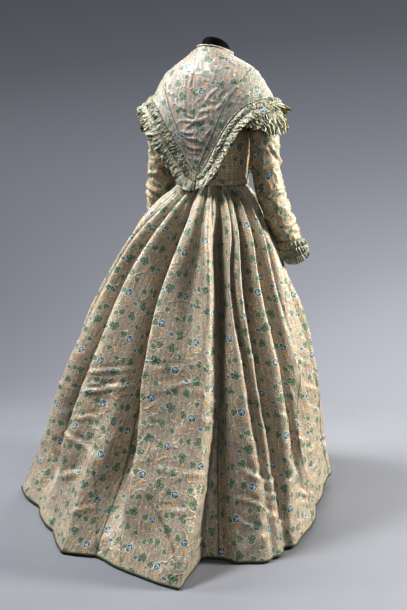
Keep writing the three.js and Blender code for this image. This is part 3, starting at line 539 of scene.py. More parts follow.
PINK = lin3(151, 138, 126)
SAND = lin3(145, 137, 119)
M_SKIRT = silk("silk_skirt", PINK, SAND, lace=0.7)
M_SKIRT_IN = silk("silk_skirt_reverse", tuple(c * 0.8 for c in SAND), tuple(c * 0.78 for c in SAND), strength=0.45, back=True, lace=0.3)
M_BODICE = silk("silk_bodice", lin3(157, 140, 120), lin3(150, 138, 114), lace=0.7)
M_CAPE = silk("silk_pelerine", lin3(146, 136, 132), lin3(142, 138, 130), strength=0.9, lace=0.7)
M_BAND = silk("silk_band", lin3(140, 138, 131), lin3(133, 134, 125), strength=0.75, lace=0.8)
M_FRILL = silk("silk_frill", lin3(138, 136, 122), lin3(130, 132, 116), strength=0.9, lace=0.8, edge=(0.0, 0.0035, 0.8, lin3(56, 70, 44)))
M_FRILL_IN = silk("silk_frill_reverse", lin3(150, 138, 78), lin3(132, 126, 70), strength=0.4, back=True, lace=0.3, edge=(0.0, 0.0035, 0.6, lin3(60, 70, 34)))


def plain(name, colour, rough, grain, bump, metallic=0.0, dark=0.7, spec=0.5):
    T = Tree(name)
    ob = T.node("ShaderNodeTexCoord").outputs["Object"]
    n1 = T.noise(ob, grain, 3.0, 0.6)
    n2 = T.noise(ob, 9.0, 2.0)
    col = T.mix(T.step(n1, 0.3, 0.7), colour, tuple(c * dark for c in colour))
    col = T.mix(T.step(n2, 0.45, 0.8, 0.0, 0.4), col, tuple(min(1, c * 1.5 + 0.001) for c in colour))
    b = T.node("ShaderNodeBsdfPrincipled")
    T.put(b.inputs["Base Color"], col)
    T.put(b.inputs["Roughness"], T.step(n2, 0.3, 0.7, rough - 0.06, rough + 0.08))
    b.inputs["Metallic"].default_value = metallic
    b.inputs["Specular IOR Level"].default_value = spec
    bp = T.node("ShaderNodeBump")
    bp.inputs["Strength"].default_value = 0.3
    bp.inputs["Distance"].default_value = bump
    T.put(bp.inputs["Height"], n1)
    T.t.links.new(bp.outputs[0], b.inputs["Normal"])
    out = T.node("ShaderNodeOutputMaterial")
    T.t.links.new(b.outputs[0], out.inputs[0])
    return T.mat


M_BRAID = plain("braid", lin3(74, 78, 58), 0.6, 900.0, 0.0006)
M_FORM = plain("form_cover", lin3(8, 8, 10), 0.8, 1400.0, 0.0003, spec=0.15)
M_STAND = plain("stand_metal", lin3(56, 57, 60), 0.42, 300.0, 0.0002, metallic=0.7)


# ---------------------------------------------------------------- skirt
def fold_centre(row, t):
    return smooth([(0.05, row[1]), (0.25, row[2]), (0.5, row[3]), (0.75, row[4]), (1, row[5])], np.maximum(t, 0.05), 1)


# sideways lean of the ridges (deg), so that they roll over the hollow beside them
LEAN = {'a01': 2.0, 'a03': 2.5, 'a05': 2.5, 'a09': 4.0, 'a11': -2.9, 'a13': -1.5, 'a15': -1.2, 'a17': -1.6,
        'a19': -2.0, 'a21': -2.2, 'a23': 2.0, 'a25': -2.2, 'a27': 2.0, 'a29': 2.2, 'a31': -2.0, 'a33': 2.2}
# how much deeper than their neighbours some folds run
DEEPER = {'a02': 2.0, 'a04': 1.9, 'a07': 1.3, 'a12': 1.2, 'a14': 1.3, 'a16': 1.5, 'a18': 1.4, 'a20': 1.3, 'a03': 1.35, 'a05': 1.5, 'a09': 1.25, 'a11': 1.2}
# narrow gathers under the waistband: angle at the waist, half width (deg), depth (mm), where it fades
GATHERS = [
    (-172, 1.9, 4.2, .16), (-163, 2.2, 5.2, .26), (-154, 1.7, 3.8, .12), (-146, 1.9, 4.4, .2), (-138, 1.6, 3.6, .14),
    (-131, 2.1, 5.0, .24), (-123, 1.6, 3.8, .12), (-115, 1.8, 4.4, .18), (-108, 2.1, 5.2, .28), (-100, 1.6, 3.8, .12),
    (-92.5, 1.8, 4.6, .16), (-84, 2.1, 6.2, .3), (-77.5, 1.4, 3.8, .1), (-69.5, 2.2, 7.0, .34), (-64, 1.3, 3.6, .12),
    (-56.5, 2.1, 7.4, .34), (-51.5, 1.2, 3.8, .13), (-46, 1.5, 6.2, .28), (-40.5, 1.1, 3.6, .1), (-36, 2.2, 8.0, .36),
    (-30.5, 1.1, 4.2, .14), (-26, 1.3, 5.2, .2), (-17, 2.0, 7.6, .36), (-12.5, 1.0, 3.2, .1), (-2.5, 1.2, 4.6, .17),
    (4.5, 2.3, 7.8, .3), (10.5, 1.2, 4.2, .15), (18.5, 1.4, 4.6, .2), (24, 2.1, 7.2, .32), (29, 1.1, 3.4, .1),
    (38.5, 2.0, 7.0, .34), (43.5, 1.2, 3.6, .12), (50, 1.6, 5.2, .24), (56.5, 1.6, 4.2, .16), (63, 2.0, 5.8, .28),
    (70, 1.5, 3.8, .12), (77, 2.0, 5.6, .26), (84.5, 1.6, 4.2, .15), (98, 1.7, 4.0, .14), (105, 2.1, 5.6, .28),
    (112.5, 1.6, 3.8, .12), (128, 1.7, 4.2, .16), (136, 2.1, 5.4, .26), (144, 1.6, 3.6, .12), (158, 1.8, 4.2, .16),
    (165.5, 2.1, 5.2, .26), (173.5, 1.6, 3.8, .13)]
FLOW = [  # how lines of the cloth run from the waist: angle at 0, 25, 50, 75, 100 %
    (-180, -181, -185, -189, -192), (-163, -163, -168, -173, -176), (-147, -147, -153, -160, -163),
    (-134, -134, -139, -147, -149), (-121, -119, -125, -134, -136), (-109, -104, -112, -120, -121),
    (-96, -88, -98, -108, -106), (-84, -76, -83, -94, -92), (-76, -66, -74, -84, -80), (-69, -60, -64, -70, -66),
    (-62, -53.5, -57, -57.5, -56), (-56, -47.5, -49.5, -52, -51), (-49, -42, -44.5, -47.5, -48),
    (-43.5, -36, -39, -42.5, -43.5), (-36, -29, -27.5, -25, -28), (-22, -22, -22.5, -18.5, -13),
    (-8, -6, -6, -7.5, 0), (4.5, 3, 2, 1, 6), (14, 14, 14, 17, 21), (23, 25, 28, 42, 56), (33, 34, 41, 60, 68),
    (46, 53, 60, 68, 76), (76, 74, 72, 76, 80), (91, 89, 87, 88, 90), (105, 104, 102, 101, 101),
    (120, 119, 117, 115, 114), (136, 135, 133, 130, 128), (151, 150, 147, 144, 141), (165, 164, 161, 158, 155),
    (180, 179, 175, 171, 168)]


def flow(q, t):
    """Angle at height share t of the line that starts at angle q at the waist."""
    cols = []
    for k, tt in enumerate((0.05, 0.25, 0.5, 0.75, 1.0)):
        cols.append((tt, float(np.interp(q, [r[0] for r in FLOW], [r[k] for r in FLOW]))))
    return smooth(cols, np.maximum(t, 0.05), 1)


# creases: angle, height share, to angle, height share, half width (mm), height (mm), bow (mm)
SKIRT_CREASES = [
    (23.5, .524, 10.9, .500, 6, 5.0, 4), (21.8, .549, 12.4, .541, 5, 4.5, -3), (22.2, .579, 10.2, .545, 7, 5.5, 5),
    (21.1, .532, 13.6, .529, 4, 3.0, 0), (-8.0, .479, -15.5, .480, 6, 4.5, 2), (-9.4, .524, -14.2, .508, 5, 3.4, -3),
    (-10.6, .540, -18.4, .509, 6, 4.0, 4), (-21.5, .621, -26.8, .618, 5, 2.6, 0), (-35.0, .740, -46.4, .806, 9, 8.5, -8),
    (-44.2, .800, -66.6, .850, 9, 8.0, 6), (-39.2, .748, -46.9, .748, 6, 4.5, 4), (-41.0, .772, -45.0, .795, 5, 3.5, 0),
    (-43.0, .826, -53.0, .852, 7, 6.5, -5), (-33.0, .827, -40.2, .849, 7, 6.0, 4), (-40.2, .849, -49.5, .904, 8, 6.5, -6),
    (-41.5, .900, -50.5, .900, 6, 5.0, 4), (-34.4, .881, -38.8, .910, 6, 4.5, 0), (-49.0, .922, -58.8, .934, 7, 5.0, -4),
    (-54.2, .815, -57.6, .880, 7, 5.5, 5), (-53.2, .946, -67.9, .965, 7, 4.0, 4), (-63.5, .870, -84.6, .930, 8, 6.5, -7),
    (-61.5, .905, -74.2, .936, 7, 5.0, 5), (-27.5, .905, -35.2, .922, 6, 4.0, 3), (-12.0, .823, -19.4, .816, 6, 3.4, -3),
    (3.9, .840, -3.4, .895, 7, 5.0, 5), (33.6, .852, 20.2, .792, 8, 5.5, -6), (19.8, .905, 11.1, .872, 7, 4.5, 4),
    (42.6, .956, 32.2, .892, 8, 5.0, -5), (-3.0, .725, -9.2, .765, 6, 3.8, 3), (-12.0, .724, -20.2, .745, 6, 3.2, -3),
    (24.4, .660, 16.8, .634, 6, 4.4, 3), (7.9, .608, -1.1, .578, 6, 4.0, -4), (-71.2, .446, -85.6, .492, 7, 4.4, 5),
    (-91.2, .528, -108., .580, 8, 4.6, -5), (-89.8, .605, -104., .650, 8, 4.4, 5), (-96.5, .680, -112., .730, 8, 4.6, -6),
    (-36.5, .465, -46.8, .452, 5, 3.2, 3), (-53.8, .381, -65.5, .408, 6, 3.6, -4), (58.0, .452, 43.0, .470, 7, 4.0, 4),
    (27.2, .228, 20.6, .182, 5, 2.6, 0), (-18.2, .938, -23.9, .942, 6, 3.8, 3), (-28.2, .938, -35.0, .953, 6, 3.8, -3),
    (30.0, .700, 18.0, .735, 8, 4.2, 6), (50.0, .780, 36.0, .742, 8, 4.6, -6), (60.0, .640, 46.0, .600, 8, 4.0, 5),
    (12.0, .780, 3.0, .745, 6, 3.2, -4), (-22.0, .560, -26.0, .595, 5, 2.6, 0), (-47.0, .610, -58.0, .640, 6, 3.2, 4),
    (-66.0, .700, -80.0, .760, 8, 4.6, -6), (-78.0, .800, -92.0, .780, 8, 4.4, 5),
    # on the front and the far side
    (70.0, .560, 86.0, .600, 8, 4.4, 5), (84.0, .720, 104.0, .690, 8, 4.8, -6), (72.0, .840, 92.0, .880, 8, 5.2, 7),
    (110.0, .820, 126.0, .780, 8, 4.6, 5), (128.0, .560, 142.0, .600, 8, 4.0, -5), (140.0, .860, 158.0, .830, 8, 5.0, 6),
    (162.0, .660, 176.0, .700, 8, 4.4, -6), (150.0, .740, 164.0, .772, 7, 4.0, 4), (-176.0, .800, -160.0, .840, 8, 5.0, 5),
    (-168.0, .560, -152.0, .600, 8, 4.2, -5), (-150.0, .720, -134.0, .760, 8, 4.8, 6), (-140.0, .880, -122.0, .850, 8, 4.8, -6),
    (-128.0, .640, -114.0, .600, 8, 4.2, 5), (-118.0, .780, -104.0, .830, 8, 4.6, 5), (-104.0, .880, -92.0, .910, 8, 4.4, -4),
    (98.0, .400, 110.0, .430, 7, 3.4, 4), (-150.0, .400, -138.0, .430, 7, 3.4, 4), (120.0, .930, 136.0, .950, 8, 4.0, -5)]

ROWS = 158
COLS = []
for nm, s0, s1, dens in WIDTHS:
    n = int(round((s1 - s0) * dens))
    COLS += [s0 + (s1 - s0) * j / n for j in range(n)]
COLS.append(180.0)
COLS = np.array(COLS)
TT = np.linspace(0, 1, ROWS)
TT = 0.72 * TT + 0.28 * TT ** 1.6     # rows a little closer under the waist
A, T_ = np.meshgrid(COLS, TT)


def hem_calm(a):
    """How far the folds have gone flat at the hem, by angle."""
    a = wrap180(a)
    return 0.97 * ease((a + 142) / 12) * ease((-46 - a) / 14) + 0.85 * ease((a + 13) / 9) * ease((82 - a) / 12)


def skirt_surface(A, t):
    a = wrap180(A)
    s, c = np.sin(a * D2R), np.cos(a * D2R)
    rw = 1 / np.sqrt((s / WAIST_A) ** 2 + (c / WAIST_B) ** 2)
    k = ease((t - 0.5) / 0.5)
    r = rw + (lin(HEM, a, 1) * (1 - k) + lin(HEM, a, 2) * k - rw) * smooth(SPREAD, t, 1) + SKIRT_BULGE * 4 * t * (1 - t)
    lean = np.zeros_like(r)
    for row in FOLDS:
        name, w, d, t0, t1 = row[0], row[6], row[7], row[8], row[9]
        fc = fold_centre(row, t)
        e = wrap180(a - fc) / (w * (0.92 if d > 0 else 1.0))
        top = 0.16 + 0.84 * ease(t / 0.2)
        env = ease((t - t0) / 0.2) if t0 > 0 else 1.0
        out = 1 - ease((t - t1 + 0.15) / 0.15) if t1 < 1.1 else 1.0
        g = np.exp(-np.abs(e) ** (3.4 if d < 0 else 2.6)) * top * env * out
        deep = (1.0 if t1 < 0.5 else (1.62 if d < 0 else 1.3) * FOLD_DEPTH) * DEEPER.get(name, 1.0)
        hush = 1 - hem_calm(fc) * ease((t - 0.72) / 0.26)
        r = r + d * deep * g * hush * (0.82 + 0.18 * ease((1 - t) / 0.2))
        if name in LEAN:
            lean = lean + 1.75 * LEAN[name] * np.exp(-(e * 0.9) ** 2) * ease((t - 0.04) / 0.3) * env * out * hush
    for q, w, d, fade in GATHERS:
        fc = flow(q, t)
        ww = w * (1 + 0.5 * ease(t / 0.3))
        e = wrap180(a - fc) / ww
        env = (0.25 + 0.75 * ease(t / 0.035)) * (1 - ease((t - 0.35 * fade) / fade))
        r = r - 1.4 * d * env * np.exp(-e * e) + 0.5 * d * env * np.exp(-((np.abs(e) - 2.1) / 0.9) ** 2)
    z = WAIST_Z - (WAIST_Z - lin(HEM, a, 3)) * t
    b = (a + lean) * D2R
    return stack3(r * np.sin(b), r * np.cos(b), z)


P0 = skirt_surface(A, T_)
axis = np.dstack([P0[..., 0], P0[..., 1], np.zeros_like(A)])


def closed_grad(P):
    """Outward normals of the whole ring; its first and last columns are the same line."""
    Q = np.concatenate([P[:, -2:-1], P, P[:, 1:2]], axis=1)
    n = unit(np.cross(np.gradient(Q, axis=1), np.gradient(Q, axis=0)))[:, 1:-1]
    if np.sum(n * axis) < 0:
        n = -n
    return n


N0 = closed_grad(P0)
rad = np.hypot(P0[..., 0], P0[..., 1])
detail = np.zeros_like(A)
LEN = 1130.0
for a0, t0, a1, t1, w, d, bow in SKIRT_CREASES:
    am, rm = (a0 + a1) / 2, float(np.interp((t0 + t1) / 2, [0, .5, 1], [95, 420, 540]))
    X = wrap180(A - am) * D2R * rm
    d, w = d * 1.05, w * 0.86
    if -60 < am < -37 and t0 > 0.7:     # on the narrow folds a crease stays low
        d = d * 0.5
    detail += crease(X, T_ * LEN, float(wrap180(a0 - am)) * D2R * rm, t0 * LEN, float(wrap180(a1 - am)) * D2R * rm, t1 * LEN, w, d, bow)
# soft unevenness of crisp silk: long in the fall of the cloth, livelier low down
nx, ny, nz = P0[..., 0] / 1000, P0[..., 1] / 1000, P0[..., 2] / 1000
low = 0.25 + 0.75 * ease((T_ - 0.25) / 0.6)
detail += 2.6 * low * noise3(nx * 9 + 3, ny * 9, nz * 4.2)
rid = 1 - np.abs(noise3(nx * 13 + 9, ny * 13 + 4, nz * 8 + 2))
detail += 3.4 * low * (rid ** 5 - 0.25)
rid2 = 1 - np.abs(noise3(nx * 21 + 31, ny * 21 + 14, nz * 15 + 5))
detail += 2.8 * low * (rid2 ** 7 - 0.18)
detail *= ease(T_ / 0.06) * (0.35 + 0.65 * ease((1 - T_) / 0.03))
P1 = P0 + N0 * (0.4 + 0.9 + detail)[..., None]
P1[:, -1] = P1[:, 0]
P1[..., 2] = np.maximum(P1[..., 2], 1.6)
N1 = closed_grad(P1)
N1[:, -1] = N1[:, 0]
N1[0] = unit(N1[0] * np.array([1, 1, 0.0]))

# cloth coordinates: true length on the ridges, the spare cloth goes into the hollow between two ridges
seg = np.linalg.norm(np.diff(P1, axis=1), axis=2)
S = np.concatenate([np.zeros((ROWS, 1)), np.cumsum(seg, axis=1)], axis=1)
RIDGES = [('a27', -1)] + [(n, 0) for n in ('a25', 'a23', 'a21', 'a19', 'a17', 'a15', 'a13', 'a11', 'a09', 'a05', 'a03', 'a33', 'a31', 'a29', 'a27')]
RIDGES += [('a25', 1)]
RIDGES = [('a29', -1)] + RIDGES
rows_by = {r[0]: r for r in FOLDS}
Ucoord = np.zeros_like(A)
Utrack = None
spans = []
for i in list(range(ROWS - 1, -1, -1)) * 2:
    t = TT[i]
    tot = S[i, -1]
    Ra = np.array([float(fold_centre(rows_by[n], t)) + 360 * k for n, k in RIDGES])
    if np.any(np.diff(Ra) < 4):
        Ra = np.maximum.accumulate(Ra + np.arange(len(Ra)) * 1e-3)

    def s_at(x):
        turns = np.floor((x + 180) / 360)
        return turns * tot + np.interp(x - 360 * turns, COLS, S[i])

    SR = s_at(Ra)
    spans.append(np.diff(SR))
    if len(spans) <= ROWS:
        continue
    if Utrack is None:      # the width of cloth between two ridges: that of the hem, or most of the widest row
        Utrack = np.concatenate([[SR[0]], SR[0] + np.cumsum(np.maximum(spans[0], 0.9 * np.max(spans, axis=0)))])
    k = np.clip(np.searchsorted(Ra, COLS, side="right") - 1, 0, len(Ra) - 2)
    E = (Utrack[k + 1] - Utrack[k]) - (SR[k + 1] - SR[k])
    x = (COLS - Ra[k]) / (Ra[k + 1] - Ra[k])
    Ucoord[i] = Utrack[k] + (S[i] - SR[k]) + E * np.where(E < 0, x, ease((x - 0.25) / 0.5))
Vcol = np.concatenate([np.zeros((1, len(COLS))), np.cumsum(np.linalg.norm(np.diff(P1, axis=0), axis=2), axis=0)], axis=0)
kern = np.exp(-np.linspace(-2, 2, 41) ** 2)
kern /= kern.sum()
pad = np.concatenate([Vcol[:, -21:-1], Vcol, Vcol[:, 1:21]], axis=1)
Vcoord = np.stack([np.convolve(r, kern, mode="valid") for r in pad])

# thin dark lines near the hem: angle and height share at both ends
LINES = [(15.5, .741, 8.0, .994), (1.2, .80, -3.2, .992), (-11.4, .80, -13.9, .99)]
line_at = np.zeros_like(A)
for a0, t0, a1, t1 in LINES:
    aa = a0 + (a1 - a0) * (T_ - t0) / (t1 - t0)
    dist = np.abs(wrap180(A - aa)) * D2R * rad
    line_at = np.maximum(line_at, (1 - ease(dist / 3.0)) * ease((T_ - t0) / 0.05))
for s0 in [w[1] for w in WIDTHS]:
    dist = np.abs(wrap180(A - s0)) * D2R * rad
    line_at = np.maximum(line_at, (1 - ease((dist - 0.6) / 2.4)) * 0.8 * ease((T_ - 0.3) / 0.1))

start = 0
skirt_objs = []
for w_i, (nm, s0, s1, dens) in enumerate(WIDTHS):
    n = int(round((s1 - s0) * dens))
    sl = slice(start, start + n + 1)
    Pw, Nw = P1[:, sl].copy(), N1[:, sl].copy()
    for j, sgn in ((0, 1), (-1, -1)):   # a hair of clear space at each seam
        along = unit(Pw[:, j + sgn if j == 0 else -2] - Pw[:, j])
        Pw[:, j] += along * 0.25
    uv = np.stack([Ucoord[:, sl] / 1000 + 0.023 * w_i, Vcoord[:, sl] / 1000 + 0.031 * w_i], -1)
    ob = shell(nm + "_cloth", Pw, Nw, 0.9, uv, back=True, attr={"seam_and_painted_shade": line_at[:, sl]})
    width = float((S[-1, sl][-1] - S[-1, sl][0]) / 1000)
    settle(ob, nm, [M_SKIRT, M_SKIRT_IN])
    skirt_objs.append(ob)
    start += n

# braid round the hem, twisted, over the last millimetres of the cloth
edge, en = P1[-1, :-1], N1[-1, :-1]
up = unit(P1[-2, :-1] - P1[-1, :-1])
M = 2
idx = np.arange(len(edge) * M) / M
i0 = np.floor(idx).astype(int) % len(edge)
i1, fr = (i0 + 1) % len(edge), (idx - np.floor(idx))[:, None]
be, bn, bu = (edge[i0] * (1 - fr) + edge[i1] * fr), unit(en[i0] * (1 - fr) + en[i1] * fr), unit(up[i0] * (1 - fr) + up[i1] * fr)
sb = np.concatenate([[0], np.cumsum(np.linalg.norm(np.diff(be, axis=0), axis=1))])
prof = [(6.6, 0.25), (6.0, 0.9), (4.4, 1.3), (2.2, 1.35), (0.8, 1.0), (0.0, 0.3)]
BP = []
for kk, (h, o) in enumerate(prof):
    tw = 0.32 * np.sin(sb / 3.2 * 2 * math.pi + kk * 1.2)
    BP.append(be + bu * h + bn * (o + tw)[:, None])
BP = np.array(BP)
BP[..., 2] = np.maximum(BP[..., 2], 1.2)
BN = np.repeat(bn[None], len(prof), 0)
ub = np.stack(np.broadcast_arrays(np.append(sb, sb[-1] + 2)[None] / 1000, (np.array(prof)[:, :1]) / 1000), -1)
braid_ob = shell("hem_braid_cord", BP, BN, 0.5, ub, closed=True)
settle(braid_ob, "hem_braid", [M_BRAID])


# ---------------------------------------------------------------- rings: bodice, pelerine, form
def on_ring(tab, z, a, off=0.0, drop=True):
    s, c = np.sin(a * D2R), np.cos(a * D2R)
    A_ = smooth(tab, z, 1) + off
    B_ = np.where(c > 0, smooth(tab, z, 2), smooth(tab, z, 3)) + off
    n = smooth(tab, z, 5)
    r = (np.abs(s / A_) ** n + np.abs(c / B_) ** n) ** (-1 / n)
    zz = z - (NECK_DROP * ease((z - 1335) / 67) * (1 - c) / 2 + 10 * ease((z - 1345) / 57) * (0.5 + 0.5 * np.cos((a + 112) * D2R)) ** 2 if drop else 0)
    return stack3(r * s, smooth(tab, z, 4) + r * c, zz)


def ring_wall(tab, z, a, off, lo, hi):
    """The ring surface moved out along its own normal."""
    zc = np.clip(z, lo, hi)
    p = on_ring(tab, zc, a)
    da = on_ring(tab, zc, a + 0.8) - on_ring(tab, zc, a - 0.8)
    dz = on_ring(tab, zc + 1.5, a) - on_ring(tab, zc - 1.5, a)
    n = unit(np.cross(da, dz))
    flip = np.sign(np.sum(n * np.dstack([p[..., 0], p[..., 1], np.zeros(p.shape[:2])]), axis=-1))
    n = n * np.where(flip == 0, 1, flip)[..., None]
    return on_ring(tab, z, a) + n * np.asarray(off)[..., None], n


# bodice: creases as angle, height, to angle, height, half width, height, bow
BODICE_CREASES = [
    (-34, 1035, -86, 1062, 5, 2.4, 6), (-30, 1062, -80, 1098, 6, 2.6, -6), (-40, 1010, -80, 1030, 4, 2.0, 3),
    (-48, 1120, -84, 1140, 6, 2.2, 6), (-60, 1150, -46, 1210, 5, 2.0, -5), (34, 1035, 86, 1062, 5, 2.4, -6),
    (30, 1062, 80, 1098, 6, 2.6, 6), (48, 1120, 84, 1140, 6, 2.2, -6), (110, 1030, 150, 1046, 5, 2.2, 5),
    (-110, 1030, -150, 1050, 5, 2.2, 5), (104, 1080, 140, 1108, 6, 2.4, -5), (-104, 1084, -142, 1104, 6, 2.4, -5)]


def bodice_panel(name, side):
    z = np.linspace(1001.6, 1392, 74)
    e = lin(BODICE_EDGE, z, 1)
    gap = 0.11
    k = np.linspace(0, 1, 62 if side == 0 else 38)
    if side == 0:
        a0, a1 = -e + gap, e - gap
    elif side > 0:
        a0, a1 = 180 - e + gap, 180 - gap + 0 * e
    else:
        a0, a1 = -180 + gap + 0 * e, -180 + e - gap
    Z = np.repeat(z[:, None], len(k), 1)
    Aa = a0[:, None] + (a1 - a0)[:, None] * k[None]
    P, N = ring_wall(BODICE, Z, Aa, np.zeros_like(Z), 1003, 1390)
    d = np.zeros_like(Z)
    for q in BODICE_CREASES:
        am = (q[0] + q[2]) / 2
        X = wrap180(Aa - am) * D2R * 104
        d += crease(X, Z, float(wrap180(q[0] - am)) * D2R * 104, q[1], float(wrap180(q[2] - am)) * D2R * 104, q[3], q[4], q[5], q[6])
    q = P / 1000
    d += 0.9 * noise3(q[..., 0] * 22 + 5, q[..., 1] * 22, q[..., 2] * 13)
    rid = 1 - np.abs(noise3(q[..., 0] * 30 + 2, q[..., 1] * 30 + 7, q[..., 2] * 24))
    d += 1.3 * (rid ** 6 - 0.2)
    # the seams down the side backs and the front darts, as fine turned lines
    for ang in ((-34, 34) if side == 0 else (side * 146,)):
        lean = ang * (1 + 0.16 * ease((Z - 1080) / 120))
        dd = wrap180(Aa - lean) * D2R * 100
        d += -1.1 * np.exp(-(dd / 1.3) ** 2) + 0.5 * np.exp(-((np.abs(dd) - 3.4) / 1.6) ** 2)
    fade = ease((Z - 1001) / 26) * ease((1392 - Z) / 20)
    off = 1.25 + np.clip(d * fade, -1.6, 2.6)
    P, N = ring_wall(BODICE, Z, Aa, off, 1003, 1390)
    P[..., 2] = np.where(Z < 1004, Z, P[..., 2])
    N = normals(P, N)
    ob = shell(name + "_cloth", P, N, 0.9, arc_uv(P, u0=0.11 * side, v0=0.05), back=True)
    settle(ob, name, [M_BODICE, M_SKIRT_IN])


bodice_panel("bodice_back", 0)
bodice_panel("bodice_front_left", 1)
bodice_panel("bodice_front_right", -1)

# waistband with a piping along each edge
BELT = [(1003.2, 4.0), (1002.5, 5.0), (1002.4, 6.1), (1003.1, 7.0), (1004.3, 7.1), (1005.3, 6.4), (1005.9, 5.6), (1007, 5.4),
        (1009, 5.5), (1011, 5.6), (1013, 5.5), (1015, 5.4), (1016.2, 5.6), (1016.8, 6.4), (1017.8, 7.1), (1019, 7.0), (1019.7, 6.1), (1019.6, 5.0), (1018.9, 4.0)]
ba = np.linspace(-180, 180, 241)[:-1]
BZ = np.repeat(np.array([b[0] for b in BELT])[:, None], len(ba), 1)
BO = np.repeat(np.array([b[1] for b in BELT])[:, None], len(ba), 1)
BAa = np.repeat(ba[None], len(BELT), 0)
pull = 0.35 * np.sin(BAa * 0.9) * np.sin(BZ) * (BO > 5.2)
p, n = ring_wall(BODICE, BZ * 0 + 1010, BAa, BO + pull, 1003, 1390)
n[..., 2] = 0
n = unit(n)
p = on_ring(BODICE, BZ, BAa) + n * (BO + pull)[..., None]
NB = ring_normals(p, n)
ob = shell("waistband_cloth", p, NB, 0.7, arc_uv(p, closed=True, v0=0.02), closed=True, back=True)
settle(ob, "waistband", [M_BODICE, M_SKIRT_IN])


# ---------------------------------------------------------------- sleeves and cuffs
def sleeve_frames(tab, w):
    idx = [(i, *r) for i, r in enumerate(tab)]
    c = np.stack([smooth(idx, w, k) for k in (1, 2, 3)], -1)
    r = smooth(idx, w, 4)
    ds = []
    for i, q in enumerate(tab):
        if q[4] > 0:
            ds.append((math.cos(q[4] * D2R), 0.0, -math.sin(q[4] * D2R)))
        else:
            a, b = np.array(tab[i - 1][:3], float), np.array(tab[min(len(tab) - 1, i + 1)][:3], float)
            ds.append(tuple(unit(b - a)))
    di = [(i, *q) for i, q in enumerate(ds)]
    d = unit(np.stack([smooth(di, w, k) for k in (1, 2, 3)], -1))
    e1 = unit(np.array([0, 1.0, 0]) - d * d[..., 1:2])
    e2 = np.cross(d, e1)
    return c, d, e1, e2, r


# creases on a sleeve: angle round (0 back, 90 outside, 180 front), way down from the armhole, to the same, half width, height, bow
CREASE_RIGHT = [
    (-40, 246, 96, 262, 6, 3.6, 8), (-52, 286, 92, 280, 6, 4.6, -8), (-30, 316, 112, 330, 6, 4.8, 9), (-60, 346, 84, 340, 6, 4.2, -7),
    (16, 374, 132, 392, 6, 3.4, 6), (-70, 402, 30, 396, 5, 3.0, 5), (120, 300, 240, 296, 8, 5.5, 6), (132, 330, 236, 334, 8, 5.5, -6),
    (140, 268, 230, 262, 7, 3.6, 5), (-30, 120, 60, 152, 7, 3.0, 8), (30, 66, 122, 92, 7, 2.8, -6), (-62, 178, 22, 206, 7, 3.2, 6),
    (84, 186, 172, 214, 7, 3.2, -6), (60, 410, 140, 432, 6, 2.8, 4), (200, 90, 290, 130, 8, 3.2, 6), (210, 190, 300, 215, 8, 3.4, -6),
    (200, 380, 300, 400, 7, 3.6, 6), (40, 130, 110, 190, 6, 2.6, 4)]
CREASE_LEFT = [
    (-44, 236, 80, 250, 6, 3.6, -8), (-60, 272, 90, 268, 6, 4.4, 8), (-36, 306, 100, 318, 6, 4.8, -9), (-70, 338, 74, 330, 6, 4.2, 7),
    (6, 366, 122, 384, 6, 3.4, -6), (-76, 396, 24, 404, 5, 3.2, -5), (118, 296, 244, 300, 8, 5.5, 6), (128, 326, 240, 330, 8, 5.5, -6),
    (142, 262, 226, 258, 7, 3.6, 5), (-90, 130, 0, 160, 7, 3.4, 8), (26, 76, 118, 98, 7, 2.8, -6), (-96, 186, -12, 214, 7, 3.4, -6),
    (80, 196, 168, 220, 7, 3.2, -6), (-60, 84, 20, 110, 6, 3.0, 5), (200, 96, 290, 120, 8, 3.2, 6), (216, 196, 300, 222, 8, 3.4, -6),
    (206, 372, 300, 396, 7, 3.6, 6)]
SLEEVE_W = np.concatenate([np.linspace(0, 3, 34)[:-1], np.linspace(3, 10, 96)])

